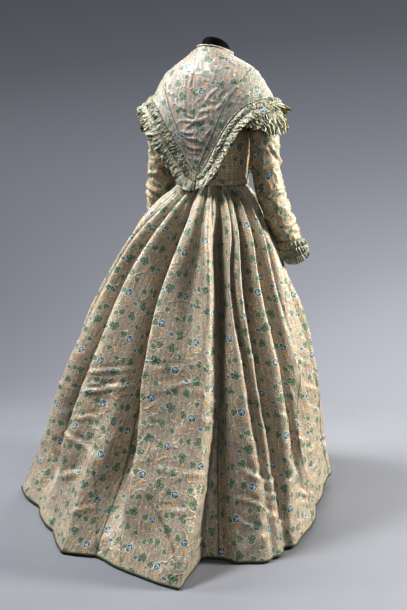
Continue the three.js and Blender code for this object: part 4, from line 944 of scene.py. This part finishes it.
for side, tab, sx, creases in (("left", SLEEVE_LEFT, 1, CREASE_LEFT), ("right", SLEEVE_RIGHT, -1, CREASE_RIGHT)):
    c, d, e1, e2, r = sleeve_frames(tab, SLEEVE_W)
    way = np.concatenate([[0], np.cumsum(np.linalg.norm(np.diff(c, axis=0), axis=1))])
    ang = np.linspace(0, 360, 69)[:-1]
    Wy, An = np.repeat(way[:, None], len(ang), 1), np.repeat(ang[None], len(way), 0)
    out = np.zeros_like(An)
    for q in creases:
        am = (q[0] + q[2]) / 2
        X = wrap180(An - am) * D2R * 41
        out += crease(X, Wy, (q[0] - am) * D2R * 41, q[1], (q[2] - am) * D2R * 41, q[3], 0.85 * q[4], 1.7 * q[5], q[6])
    cc = c[:, None] + (e1[:, None] * np.cos(An * D2R)[..., None] + e2[:, None] * np.sin(An * D2R)[..., None]) * r[:, None, None]
    q = cc / 1000
    out += 1.2 * noise3(q[..., 0] * 26 + sx, q[..., 1] * 26 + 3, q[..., 2] * 15)
    rid = 1 - np.abs(noise3(q[..., 0] * 32 + 2 * sx, q[..., 1] * 32 + 7, q[..., 2] * 24))
    out += 3.8 * (rid ** 6 - 0.22)
    # the seam down the back of the arm
    dd = wrap180(An - 338) * D2R * 41
    out += -1.0 * np.exp(-(dd / 1.3) ** 2) + 0.5 * np.exp(-((np.abs(dd) - 3.2) / 1.5) ** 2)
    keep = ease((Wy - 8) / 30) * (1 - 0.8 * ease((Wy - way[-1] + 74) / 34))
    rr = r[:, None] - 0.3 + np.clip(out * keep, -3.2, 7.5)
    P = c[:, None] + (e1[:, None] * np.cos(An * D2R)[..., None] + e2[:, None] * np.sin(An * D2R)[..., None]) * rr[..., None]
    to = P - c[:, None]
    P, to = P * np.array([sx, 1, 1]), to * np.array([sx, 1, 1])
    N = ring_normals(P, to)
    uv = arc_uv(P, closed=True, u0=0.02 * sx, v0=0.03)
    ob = shell("sleeve_" + side + "_cloth", P, N, 0.9, uv, closed=True, back=True)
    settle(ob, "sleeve_" + side, [M_BODICE, M_SKIRT_IN])

    # ruched trim: four gathered rows with cut edges, higher on the back seam
    K, CA = 42, 220
    ang = np.linspace(0, 360, CA + 1)[:-1]
    k = np.linspace(0, 1, K)
    Kk, An = np.repeat(k[:, None], CA, 1), np.repeat(ang[None], K, 0)
    upl = 70 + 28 * np.cos(An * D2R)
    s_at = way[-1] - (1 - Kk) * upl
    wq = np.interp(s_at, way, SLEEVE_W)
    c2, d2, f1, f2, r2 = sleeve_frames(tab, wq.ravel())
    c2, f1, f2, r2 = c2.reshape(K, CA, 3), f1.reshape(K, CA, 3), f2.reshape(K, CA, 3), r2.reshape(K, CA)
    rows = 3.0
    ph = Kk * rows + 0.16 * noise3(An / 30 + sx, Kk * 2, 0.4) * np.clip(np.minimum(Kk, 1 - Kk) * 8, 0, 1)
    ph = np.clip(ph, 0, rows)
    j = np.floor(np.minimum(ph, rows - 1e-6))
    frac = ph - j
    hump = np.clip(np.sin(math.pi * frac), 0, 1) ** 0.6
    w4 = An / 360 * 27 + j * 0.45 + 1.3 * np.interp(An, [0, 20, 340, 360], [0, 1, 1, 0]) * noise3(An / 38 + sx * 3, j * 2.7 + Kk, 0.3)
    r4 = np.abs(np.sin(math.pi * w4)) ** 0.6
    fine = noise3(An / 7.0, Kk * 14, j * 1.3 + sx)
    am4 = np.clip(1 + 0.55 * noise3(An / 44, j * 1.9 + Kk, 2.2 * sx), 0.5, 1.6)
    lift = 1.0 + hump * (1.2 + 7.0 * r4 * am4 + 2.6 * fine)
    rr = r2 + 2.5 + np.clip(lift, 0.5, 12.5) * (0.75 + 0.25 * ease((1 - Kk) / 0.02))
    An2 = An + 1.5 * np.sin(2 * math.pi * w4) * hump / 40 / D2R
    P = c2 + (f1 * np.cos(An2 * D2R)[..., None] + f2 * np.sin(An2 * D2R)[..., None]) * rr[..., None]
    P = P + d2.reshape(K, CA, 3) * (2.0 * (r4 - 0.5) * hump + 1.2 * fine * hump)[..., None]
    to = P - c2
    P, to = P * np.array([sx, 1, 1]), to * np.array([sx, 1, 1])
    N = ring_normals(P, to)
    # painted shade: darker in the valleys between the flutes and along the gathered lines between the rows
    crest = np.maximum((1 - ease(r4 / 0.45)) * hump * 0.9, (1 - hump) * 0.85)
    ob = shell("cuff_ruching_" + side + "_cloth", P, N, 0.5, arc_uv(P, closed=True, v0=0.2), closed=True, back=True, attr={"seam_and_painted_shade": np.clip(crest, 0, 1)})
    settle(ob, "cuff_ruching_" + side, [M_FRILL, M_FRILL_IN])

# ---------------------------------------------------------------- pelerine
CAPE_CREASES = [
    (17, 1193, -18, 1199, 4.5, 3.6, 5), (15, 1170, -16, 1190, 4.5, 3.2, -5), (22, 1158, 1, 1157, 4, 2.8, 3), (12, 1141, -15, 1127, 4.5, 3.2, -4),
    (19, 1121, -9, 1111, 5, 3.4, 4), (21, 1147, 7, 1139, 3.5, 2.4, 0), (-16, 1148, -26, 1172, 4, 2.4, 0), (16, 1211, -2, 1203, 4, 2.2, 3),
    (5, 1100, -6, 1096, 4, 2.6, 0), (0, 1371, -13, 1320, 4, 1.6, 3), (-34, 1394, -62, 1350, 4.5, 2.4, -5), (-48, 1372, -70, 1344, 4, 1.8, 4),
    (55, 1332, 52, 1370, 4, 1.8, 3), (58, 1386, 8, 1396, 3.5, 2.0, -3), (-6, 1396, -38, 1382, 3.5, 2.0, 3), (-20, 1384, 14, 1388, 3, 1.4, 2),
    (4, 1342, 9, 1286, 5, 1.6, 4), (-45, 1268, -29, 1223, 5, 2.2, -5), (-35, 1287, -15, 1240, 5, 2.0, 5), (38, 1266, 25, 1214, 5, 2.2, 5),
    (-60, 1300, -38, 1252, 5, 2.0, -4), (52, 1300, 36, 1262, 5, 2.0, 5), (30, 1240, 12, 1222, 5, 1.8, 3), (-28, 1232, -6, 1216, 5, 1.8, -3),
    (150, 1160, 175, 1176, 5, 2.6, 4), (-150, 1150, -176, 1170, 5, 2.6, -4), (140, 1230, 170, 1214, 5, 2.4, 5), (-140, 1240, -168, 1222, 5, 2.4, 5),
    (160, 1110, 178, 1118, 4, 2.4, 0), (-160, 1104, -178, 1114, 4, 2.4, 0), (130, 1290, 160, 1270, 5, 2.2, 4), (-132, 1296, -162, 1268, 5, 2.2, -4)]
BI = sorted([(b[1], b[0]) for b in BAND])          # inner height, inner angle
HALF = len(BAND)


def cape_detail(Aa, Z, P):
    d = np.zeros_like(Z)
    for q in CAPE_CREASES:
        am = (q[0] + q[2]) / 2
        X = wrap180(Aa - am) * D2R * 112
        d += crease(X, Z, float(wrap180(q[0] - am)) * D2R * 112, q[1], float(wrap180(q[2] - am)) * D2R * 112, q[3], q[4], q[5], q[6])
    q = P / 1000
    d += 1.0 * noise3(q[..., 0] * 17 + 5, q[..., 1] * 17 + 8, q[..., 2] * 15)
    rid = 1 - np.abs(noise3(q[..., 0] * 26 + 12, q[..., 1] * 26 + 7, q[..., 2] * 26))
    d += 1.5 * (rid ** 6 - 0.2)
    # tiny gathers under the neckline
    top = ease((Z - 1362) / 34)
    d += 0.9 * top * np.sin(Aa * 1.9 + 2.2 * noise3(Aa / 20, Z / 30, 0.5))
    return d


def cape_panel(name, front, sx):
    z = np.linspace(1058, CAPE_TOP_Z, 106)
    edge = np.where(z < 1340, np.interp(z, [b[0] for b in BI], [b[1] for b in BI]), 90.0) - 0.1
    k = np.linspace(0, 1, 44 if front else 105)
    if front:
        Aa = sx * (180 - (0.12 + (edge - 0.12)[:, None] * k[None]))
    else:
        Aa = (-edge)[:, None] + 2 * edge[:, None] * k[None]
    Z = np.repeat(z[:, None], len(k), 1)
    P, N = ring_wall(CAPE, Z, Aa, np.zeros_like(Z), 952, 1398)
    fade = ease((Z - 1058) / 20) * (0.3 + 0.7 * ease((1402 - Z) / 12))
    ed = np.minimum(k, 1 - k)[None] * 2 * edge[:, None] * D2R * 112
    fade = fade * (0.25 + 0.75 * ease(ed / 9)) if not front else fade * 0.9
    d = cape_detail(Aa, Z, P) * fade
    if not front:   # centre back seam
        dd = Aa * D2R * 100
        d += (-0.7 * np.exp(-(dd / 1.2) ** 2) + 0.35 * np.exp(-((np.abs(dd) - 3.0) / 1.4) ** 2)) * ease((Z - 1100) / 40)
    P, N = ring_wall(CAPE, Z, Aa, 1.4 + np.clip(d, -1.3, 3.4), 952, 1398)
    N = normals(P, N)
    ob = shell(name + "_cloth", P, N, 0.9, arc_uv(P, u0=0.012 + (0.21 * sx if front else 0), v0=0.0), back=True)
    settle(ob, name, [M_CAPE, M_FRILL_IN])


cape_panel("pelerine_back", False, 1)
cape_panel("pelerine_front_left", True, 1)
cape_panel("pelerine_front_right", True, -1)


def band_rows():
    rows = []
    for q in range(2 * HALF - 1):
        if q < HALF:
            rows.append(BAND[q])
        else:
            r = BAND[2 * HALF - 2 - q]
            rows.append((180 - r[0], r[1], 180 - r[2], r[3], r[4], r[5]))
    return np.array(rows, float)


BR = band_rows()
_p0 = on_ring(CAPE, BR[:, 3], BR[:, 2])
_acc = np.concatenate([[0], np.cumsum(np.linalg.norm(np.diff(_p0, axis=0), axis=1))])
TOTAL = _acc[-1]


def band_at(s, col):
    tab = [(a, b) for a, b in zip(_acc, BR[:, col])]
    return smooth(tab, s, 1) if col > 3 else np.interp(s, _acc, BR[:, col])


def cape_frame(z, a):
    """Point and outward normal on the pelerine's surface."""
    p, n = ring_wall(CAPE, z, a, np.zeros_like(z), 952, 1398)
    return p, n


for side, sx in (("left", 1), ("right", -1)):
    # the flat band: rolled edges, a stitched line inside each, and two small tucks over the shoulder
    S_ = np.linspace(0, TOTAL, 250)
    kk = np.array([0, .015, .04, .08, .13, .18, .24, .32, .4, .5, .6, .68, .76, .82, .87, .92, .96, .985, 1.0])
    SS, KK = np.meshgrid(S_, kk)
    a = band_at(SS, 0) + (band_at(SS, 2) - band_at(SS, 0)) * KK
    z = band_at(SS, 1) + (band_at(SS, 3) - band_at(SS, 1)) * KK
    a = a + np.where(KK < 0.001, np.where(SS < TOTAL / 2, 0.1, -0.1), 0)
    width = np.linalg.norm(on_ring(CAPE, band_at(S_, 3), band_at(S_, 2)) - on_ring(CAPE, band_at(S_, 1), band_at(S_, 0)), axis=1)
    fromedge = np.minimum(KK, 1 - KK) * width[None]
    puff = 1.9 + 1.6 * np.exp(-((fromedge - 1.6) / 1.3) ** 2) - 0.9 * np.exp(-((fromedge - 4.6) / 0.9) ** 2)
    puff += 0.35 * np.sin(SS / 3.3) * np.exp(-((fromedge - 4.6) / 1.6) ** 2)
    puff = np.where(fromedge < 0.4, 1.3, puff)
    P, N = cape_frame(z, sx * a)
    q = P / 1000
    wr = 0.9 * noise3(q[..., 0] * 40 + sx, q[..., 1] * 40, q[..., 2] * 40) + 1.2 * (((1 - np.abs(noise3(q[..., 0] * 22 + 6, q[..., 1] * 22 + sx, q[..., 2] * 22))) ** 6) - 0.2)
    wide = ease((width[None] - 30) / 40)
    tuck = 0
    for t0, w0 in ((0.34, 2.0), (0.37, 1.6), (0.66, 2.0)):
        tuck = tuck + 1.8 * wide * np.exp(-((SS / TOTAL - t0 - 0.05 * (KK - 0.5)) * TOTAL / w0) ** 2) * ease((KK - 0.15) / 0.2) * ease((0.8 - KK) / 0.2)
    P, N = ring_wall(CAPE, z, sx * a, puff + wr * (0.3 + 0.7 * wide) * ease(fromedge / 3) + tuck, 952, 1398)
    lim = 0.3
    P[..., 0] = np.where(sx * P[..., 0] < lim, sx * lim, P[..., 0])
    N = normals(P, N)
    uv = np.stack([SS / 1000 * 0 + KK * width[None] / 1000 + 0.3 * sx, SS / 1000], -1)
    ob = shell("pelerine_band_" + side + "_cloth", P, N, 0.8, uv, back=True)
    settle(ob, "pelerine_band_" + side, [M_BAND, M_FRILL_IN])

    # frill: gathered on its upper edge and again lower down, puffed between, then falling in crumpled curls to a pinked edge
    CN = 800
    s = np.linspace(0, TOTAL, CN)
    rows_v = np.concatenate([np.linspace(0, 0.44, 11)[:-1], np.linspace(0.44, 1, 13)])
    SS, VV = np.meshgrid(s, rows_v)
    ze, ae = band_at(s, 3), band_at(s, 2)
    p1, n1 = cape_frame(ze[None], sx * ae[None])
    p1, n1 = p1[0] + n1[0] * 0.9, n1[0]
    zi, ai = band_at(s, 1) * 0.2 + ze * 0.8, band_at(s, 0) * 0.2 + ae * 0.8
    p0 = on_ring(CAPE, zi, sx * ai)
    t = unit(np.gradient(p1, axis=0))
    o = unit(np.cross(n1, t))
    o = o * np.sign(np.sum(o * (p1 - p0), axis=1))[:, None]
    box = np.ones(31) / 31                       # even out the direction along the strip
    o = unit(np.stack([np.convolve(np.pad(o[:, c], 15, mode="edge"), box, mode="valid") for c in range(3)], -1))
    for gone in (s, TOTAL - s):   # the two halves turn and hang together at the points
        hang = np.stack([sx * 0.6 * ease(gone / 46), 0 * s, 0 * s - 1.0], -1)
        o = unit(o + (hang - o) * (0.92 * ease(1 - gone / 80))[:, None])
    w = band_at(s, 5 if sx > 0 else 4) * (1 + 0.3 * np.exp(-((TOTAL - s) / 70) ** 2) + 0.3 * np.exp(-(s / 70) ** 2))
    w1 = SS / 13.5 + 2.1 * noise3(SS / 38 + 3 * sx, VV * 1.4, 0.7) + 0.9 * noise3(SS / 12 + 9 * sx, VV * 3.0, 0.1)
    w2 = SS / 17.0 + 2.3 * noise3(SS / 44 + 7 * sx, VV * 1.2 + 4, 0.2) + 0.8 * noise3(SS / 13 + 5 * sx, VV * 2.8, 2.1)
    Am = 1 + 0.7 * noise3(SS / 27 + 5 * sx, VV * 0.8, 1.9)
    Am = np.clip(Am, 0.35, 1.7)
    En = np.minimum(1, 0.25 + np.minimum(s, TOTAL - s) / 12)[None]
    r1 = np.abs(np.sin(math.pi * w1)) ** 0.6
    r2 = np.abs(np.sin(math.pi * w2)) ** 0.7
    puff = np.sin(math.pi * np.clip(VV / 0.44, 0, 1)) ** 0.7
    fall = ease((VV - 0.44) / 0.42)
    lift = (0.1 + 0.42 * ease((w[None] - 34) / 14)) * w[None] * VV
    small = 2.0 * noise3(SS / 5.0, VV * 7, 3.1 * sx) + 2.2 * noise3(SS / 9.5, VV * 4, 7.7 * sx)
    nrm = lift + 1.0 + puff * (0.8 + 6.2 * r1 * Am * (0.3 + 0.7 * En)) + fall * (7.4 * (r2 - 0.42) * Am * En + 1.5 * np.sin(2 * math.pi * w2 * 0.5)) + small * (0.25 + 0.75 * np.maximum(puff, fall)) * (0.3 + 0.7 * En)
    nrm = np.maximum(nrm, 0.6 + lift * 0.6)
    slide = (1.3 * puff * np.sin(2 * math.pi * w1) + fall * 3.4 * np.sin(2 * math.pi * w2 + 0.6)) * Am * En
    ragged = (1 + 0.10 * noise3(SS / 24 + sx, VV * 0, 5.5) + 0.07 * (r2 - 0.5) * fall)
    pink = 1.2 * (np.abs(((s / 4.6) % 1) - 0.5) * 4 - 1)[None] * ease((VV - 0.93) / 0.07)
    body = 1.2 + w[None] * VV * ragged * 0.96 + pink
    P = p1[None] + o[None] * body[..., None] + n1[None] * nrm[..., None] + t[None] * slide[..., None]
    lim = 0.5
    P[..., 0] = np.where(sx * P[..., 0] < lim, sx * lim, P[..., 0])
    N = normals(P, np.repeat(n1[None], len(rows_v), 0))
    true_u = np.concatenate([[0], np.cumsum(np.linalg.norm(np.diff(P[-1], axis=0), axis=1))]) / 1000
    uv = np.stack([np.repeat(true_u[None], len(rows_v), 0), (1 - VV) * w[None] * 1.1 / 1000], -1)
    # painted shade: darker in the hollows between puffs and flutes, along the gathered line, under the sewn top edge
    # and in the small crumples
    dark = np.clip(puff * (1 - ease(r1 / 0.5)) * 0.75 + np.exp(-((VV - 0.44) / 0.035) ** 2) * 0.5 + np.exp(-(VV / 0.03) ** 2) * 0.6 + fall * (1 - ease(r2 / 0.45)) * 0.8 + 0.35 * (1 - ease((small + 2.2) / 2.4)), 0, 1)
    ob = shell("pelerine_frill_" + side + "_cloth", P, N, 0.45, uv, back=True, attr={"seam_and_painted_shade": dark})
    settle(ob, "pelerine_frill_" + side, [M_FRILL, M_FRILL_IN])

    # second ruffle over the sleeve head, in upright crumpled flutes
    CN = 400
    k = np.linspace(0, 1, CN)
    v = np.linspace(0, 1, 22)
    Kk, Vv = np.meshgrid(k, v)
    aa = (54 + 72 * Kk) if sx > 0 else (54 + 61 * Kk)
    zt = np.interp(90 - np.abs(90 - aa), BR[:HALF, 2], BR[:HALF, 3])
    bell = np.sin(math.pi * np.clip(Kk, 0, 1)) ** 0.5
    w3 = Kk * 15 + 2.3 * noise3(Kk * 6 + sx, Vv * 1.6, 0.2) + 0.8 * noise3(Kk * 17, Vv * 3 + 1.5, sx)
    r3 = np.abs(np.sin(math.pi * w3)) ** 0.65
    amp = np.clip(1 + 0.6 * noise3(Kk * 11, Vv * 0.7 + 3.3, sx * 2.0), 0.4, 1.6)
    ends = np.minimum(1, np.minimum(Kk, 1 - Kk) / 0.04)
    zz = zt - 24 - (76 + 16 * noise3(Kk * 9, 0.4, sx) + 7 * (r3 - 0.5)) * (0.2 + 0.8 * bell ** 1.6) * Vv
    off = 1.6 + 6.2 * Vv + (0.6 + 6.4 * ease(Vv / 0.7)) * (r3 - 0.45) * amp * ends + 1.3 * noise3(Kk * 46, Vv * 6, 0.3)
    off = np.clip(off, 0.9, 14)
    zz = zz + 1.2 * (np.abs(((Kk * 60) % 1) - 0.5) * 4 - 1) * ease((Vv - 0.95) / 0.05)
    aa2 = aa + (2.6 * ease(Vv) * np.sin(2 * math.pi * w3 + 0.5) * amp * ends) / 190 / D2R
    P, N = ring_wall(CAPE, zz, sx * aa2, off, 952, 1398)
    N = normals(P, N)
    true_u = np.concatenate([[0], np.cumsum(np.linalg.norm(np.diff(P[-1], axis=0), axis=1))]) / 1000
    uv = np.stack([np.repeat(true_u[None], len(v), 0), (1 - Vv) * 0.09], -1)
    # painted shade: darker in the valleys between the flutes and along the top, under the frill
    dark = np.clip((1 - ease(r3 / 0.5)) * 0.85 * ease(Vv / 0.2) + 0.5 * np.exp(-(Vv / 0.12) ** 2), 0, 1)
    ob = shell("shoulder_ruffle_" + side + "_cloth", P, N, 0.45, uv, back=True, attr={"seam_and_painted_shade": dark})
    settle(ob, "shoulder_ruffle_" + side, [M_FRILL, M_FRILL_IN])

# narrow rolled binding at the neckline
na = np.linspace(0, 360, 181)[:-1]
NBD = [(2.0, -0.3), (1.4, 0.8), (2.0, 2.0), (3.6, 2.5), (5.4, 2.4), (6.8, 1.7), (7.3, 0.5), (7.0, -0.3)]
Zn = np.full((len(NBD), len(na)), CAPE_TOP_Z)
P = on_ring(CAPE, Zn, np.repeat(na[None], len(NBD), 0), np.array([b[1] for b in NBD])[:, None])
P[..., 2] += np.array([b[0] for b in NBD])[:, None] + 0.25 * np.sin(na * 0.8)[None]
to = P - np.array([0, -13, 1380.0])
N = ring_normals(P, to)
ob = shell("neck_binding_cloth", P, N, 0.6, arc_uv(P, closed=True), closed=True, back=True)
settle(ob, "neck_binding", [M_CAPE, M_FRILL_IN])

# ---------------------------------------------------------------- dress form and stand
fa = np.linspace(0, 360, 97)[:-1]
rings = []
zs = np.concatenate([np.linspace(880, 1366, 70)])
for z in zs:
    rings.append(on_ring(FORM, np.full((1, len(fa)), z), fa[None], drop=False)[0])
NK = [(0, 50, -12), (.12, 46.2, -13), (.25, 43, -14), (.42, 42.6, -15.4), (.6, 42.5, -17), (.75, 42, -19), (.86, 41.6, -20.6), (.93, 40.4, -21.6), (.965, 38.4, -22), (.985, 35, -22.3), (1, 30, -22.5), (1, 20, -22.5), (1.0, 8, -22.5)]
s, c = np.sin(fa * D2R), np.cos(fa * D2R)
for kq, rq, cy in NK[1:]:
    rings.append(stack3(rq * s, cy + rq * c, 1366 + kq * (NECK_TOP_Z + NECK_SLOPE * rq * c - 1366)))
form = revolve("dress_form_body", np.array(rings))
form.data.materials.append(M_FORM)
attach(form, "root")
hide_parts("dress_form")


def turned(name, node, profile, seg):
    a_ = np.linspace(0, 2 * math.pi, seg + 1)[:-1]
    ob = revolve(name, np.array([[(r_ * math.cos(q), r_ * math.sin(q), z_) for q in a_] for r_, z_ in profile]))
    ob.data.materials.append(M_STAND)
    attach(ob, "root")
    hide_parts(node)


turned("stand_pole_tube", "stand_pole", [(14.6, 18.5), (16, 20), (16, 240), (17.2, 243), (17.2, 262), (16, 265), (16, 876), (15, 879.2)], 48)
turned("stand_base_disc", "stand_base", [(170, 0.0), (179, 0.0), (181.4, 1.0), (182, 3.2), (182, 9), (180.4, 11.4), (174, 13.8), (120, 15.4), (60, 16.8), (40, 17.4), (24, 17.9)], 96)

# ---------------------------------------------------------------- floor, light and camera
fm = Tree("floor")
tc = fm.node("ShaderNodeTexCoord")
sp = fm.node("ShaderNodeSeparateXYZ")
fm.t.links.new(tc.outputs["Object"], sp.inputs[0])
fx, fy = fm.m("ADD", sp.outputs[0], 0.10), fm.m("SUBTRACT", sp.outputs[1], 0.25)
dist = fm.m("SQRT", fm.m("MULTIPLY_ADD", fx, fx, fm.m("MULTIPLY", fy, fy)))
fd = fm.node("ShaderNodeBsdfPrincipled")
grain = fm.noise(tc.outputs["Object"], 3.0, 2.0)
fm.put(fd.inputs["Base Color"], fm.mix(fm.step(grain, 0.3, 0.7), lin3(121, 124, 131), lin3(117, 120, 127)))
fd.inputs["Roughness"].default_value = 0.75
tr = fm.node("ShaderNodeBsdfTransparent")
mx = fm.node("ShaderNodeMixShader")
fm.put(mx.inputs[0], fm.step(dist, 0.75, 1.9))
fm.t.links.new(fd.outputs[0], mx.inputs[1])
fm.t.links.new(tr.outputs[0], mx.inputs[2])
fo = fm.node("ShaderNodeOutputMaterial")
fm.t.links.new(mx.outputs[0], fo.inputs[0])
me = bpy.data.meshes.new("floor_mesh")
fv = [(5 * math.cos(i / 64 * 2 * math.pi), 5 * math.sin(i / 64 * 2 * math.pi), 0.0) for i in range(64)]
me.from_pydata(fv, [], [tuple(range(64))])
floor = bpy.data.objects.new("floor", me)
bpy.context.scene.collection.objects.link(floor)
me.materials.append(fm.mat)

world = bpy.data.worlds.new("studio")
bpy.context.scene.world = world
world.use_nodes = True
WT = Tree.__new__(Tree)
WT.t = world.node_tree
WT.t.nodes.clear()
ws = WT.node("ShaderNodeSeparateXYZ")
WT.t.links.new(WT.node("ShaderNodeTexCoord").outputs["Generated"], ws.inputs[0])
across = WT.m("MULTIPLY_ADD", ws.outputs[0], -0.891, WT.m("MULTIPLY", ws.outputs[1], -0.454))
depth = WT.step(ws.outputs[2], -0.05, -0.25, 0.12, 0.6)
fall = WT.m("MULTIPLY_ADD", WT.m("MULTIPLY", across, depth), -1.0, ws.outputs[2])
ramp = WT.node("ShaderNodeValToRGB")
WT.put(ramp.inputs[0], WT.m("MULTIPLY_ADD", fall, 1.0, 0.5, clamp=True))
GREY = [(-0.5, 184), (-0.42, 182), (-0.35, 174), (-0.30, 166), (-0.25, 155), (-0.18, 143), (-0.13, 133), (-0.08, 122), (-0.04, 111), (0.0, 98), (0.05, 89), (0.5, 82)]
while len(ramp.color_ramp.elements) < len(GREY):
    ramp.color_ramp.elements.new(0.5)
for el, (pos, g) in zip(ramp.color_ramp.elements, GREY):
    el.position, el.color = pos + 0.5, (*lin3(g - 2, g, g + 6), 1)
wb = WT.node("ShaderNodeBackground")
WT.t.links.new(ramp.outputs[0], wb.inputs[0])
toward = WT.m("MULTIPLY_ADD", ws.outputs[0], 0.454, WT.m("MULTIPLY", ws.outputs[1], -0.891))
WT.put(wb.inputs[1], WT.m("MAXIMUM", WT.step(toward, 0.35, 0.8, 0.24, 1.0), WT.step(ws.outputs[2], 0.0, -0.14, 0.0, 0.42)))
wo = WT.node("ShaderNodeOutputWorld")
WT.t.links.new(wb.outputs[0], wo.inputs[0])


def lamp(name, ang, r_, z_, size, power, colour=(1, 1, 1), aim=(0, 0.05, 0.75), size_y=None):
    l = bpy.data.lights.new(name, "AREA")
    l.shape = "RECTANGLE"
    l.size, l.size_y = size, size_y or size
    l.energy, l.color = power, colour
    ob = bpy.data.objects.new(name, l)
    bpy.context.scene.collection.objects.link(ob)
    ob.location = (r_ * math.sin(ang * D2R), r_ * math.cos(ang * D2R), z_)
    ob.rotation_euler = (Vector(aim) - ob.location).to_track_quat("-Z", "Y").to_euler()


lamp("key", 52, 1.9, 4.0, 0.9, 164, (1.0, 0.985, 0.965))
lamp("left", 76, 3.3, 2.4, 1.2, 84, (1.0, 0.985, 0.965))
lamp("soft", -34, 3.4, 2.2, 1.4, 26)
lamp("side", -114, 2.3, 1.5, 0.5, 98, (1.0, 0.95, 0.87), aim=(-0.26, 0, 1.0), size_y=0.9)
lamp("front", 172, 3.4, 2.2, 2.0, 60)

cam = bpy.data.cameras.new("camera")
co = bpy.data.objects.new("camera", cam)
bpy.context.scene.collection.objects.link(co)
az = 27 * D2R
co.location = (-3.5 * math.sin(az), 3.5 * math.cos(az), 1.4)
view = Vector((math.sin(az) * math.cos(12.51 * D2R), -math.cos(az) * math.cos(12.51 * D2R), -math.sin(12.51 * D2R)))
co.rotation_euler = view.to_track_quat("-Z", "Y").to_euler()
cam.sensor_width = 36.0
cam.lens = 1163.0 / 610.0 * 36.0
cam.shift_x = -9.5 / 610.0
cam.clip_end = 60.0
cam.dof.use_dof = False
bpy.context.scene.camera = co
bpy.context.scene.view_settings.view_transform = "Standard"
bpy.context.scene.view_settings.look = "High Contrast"
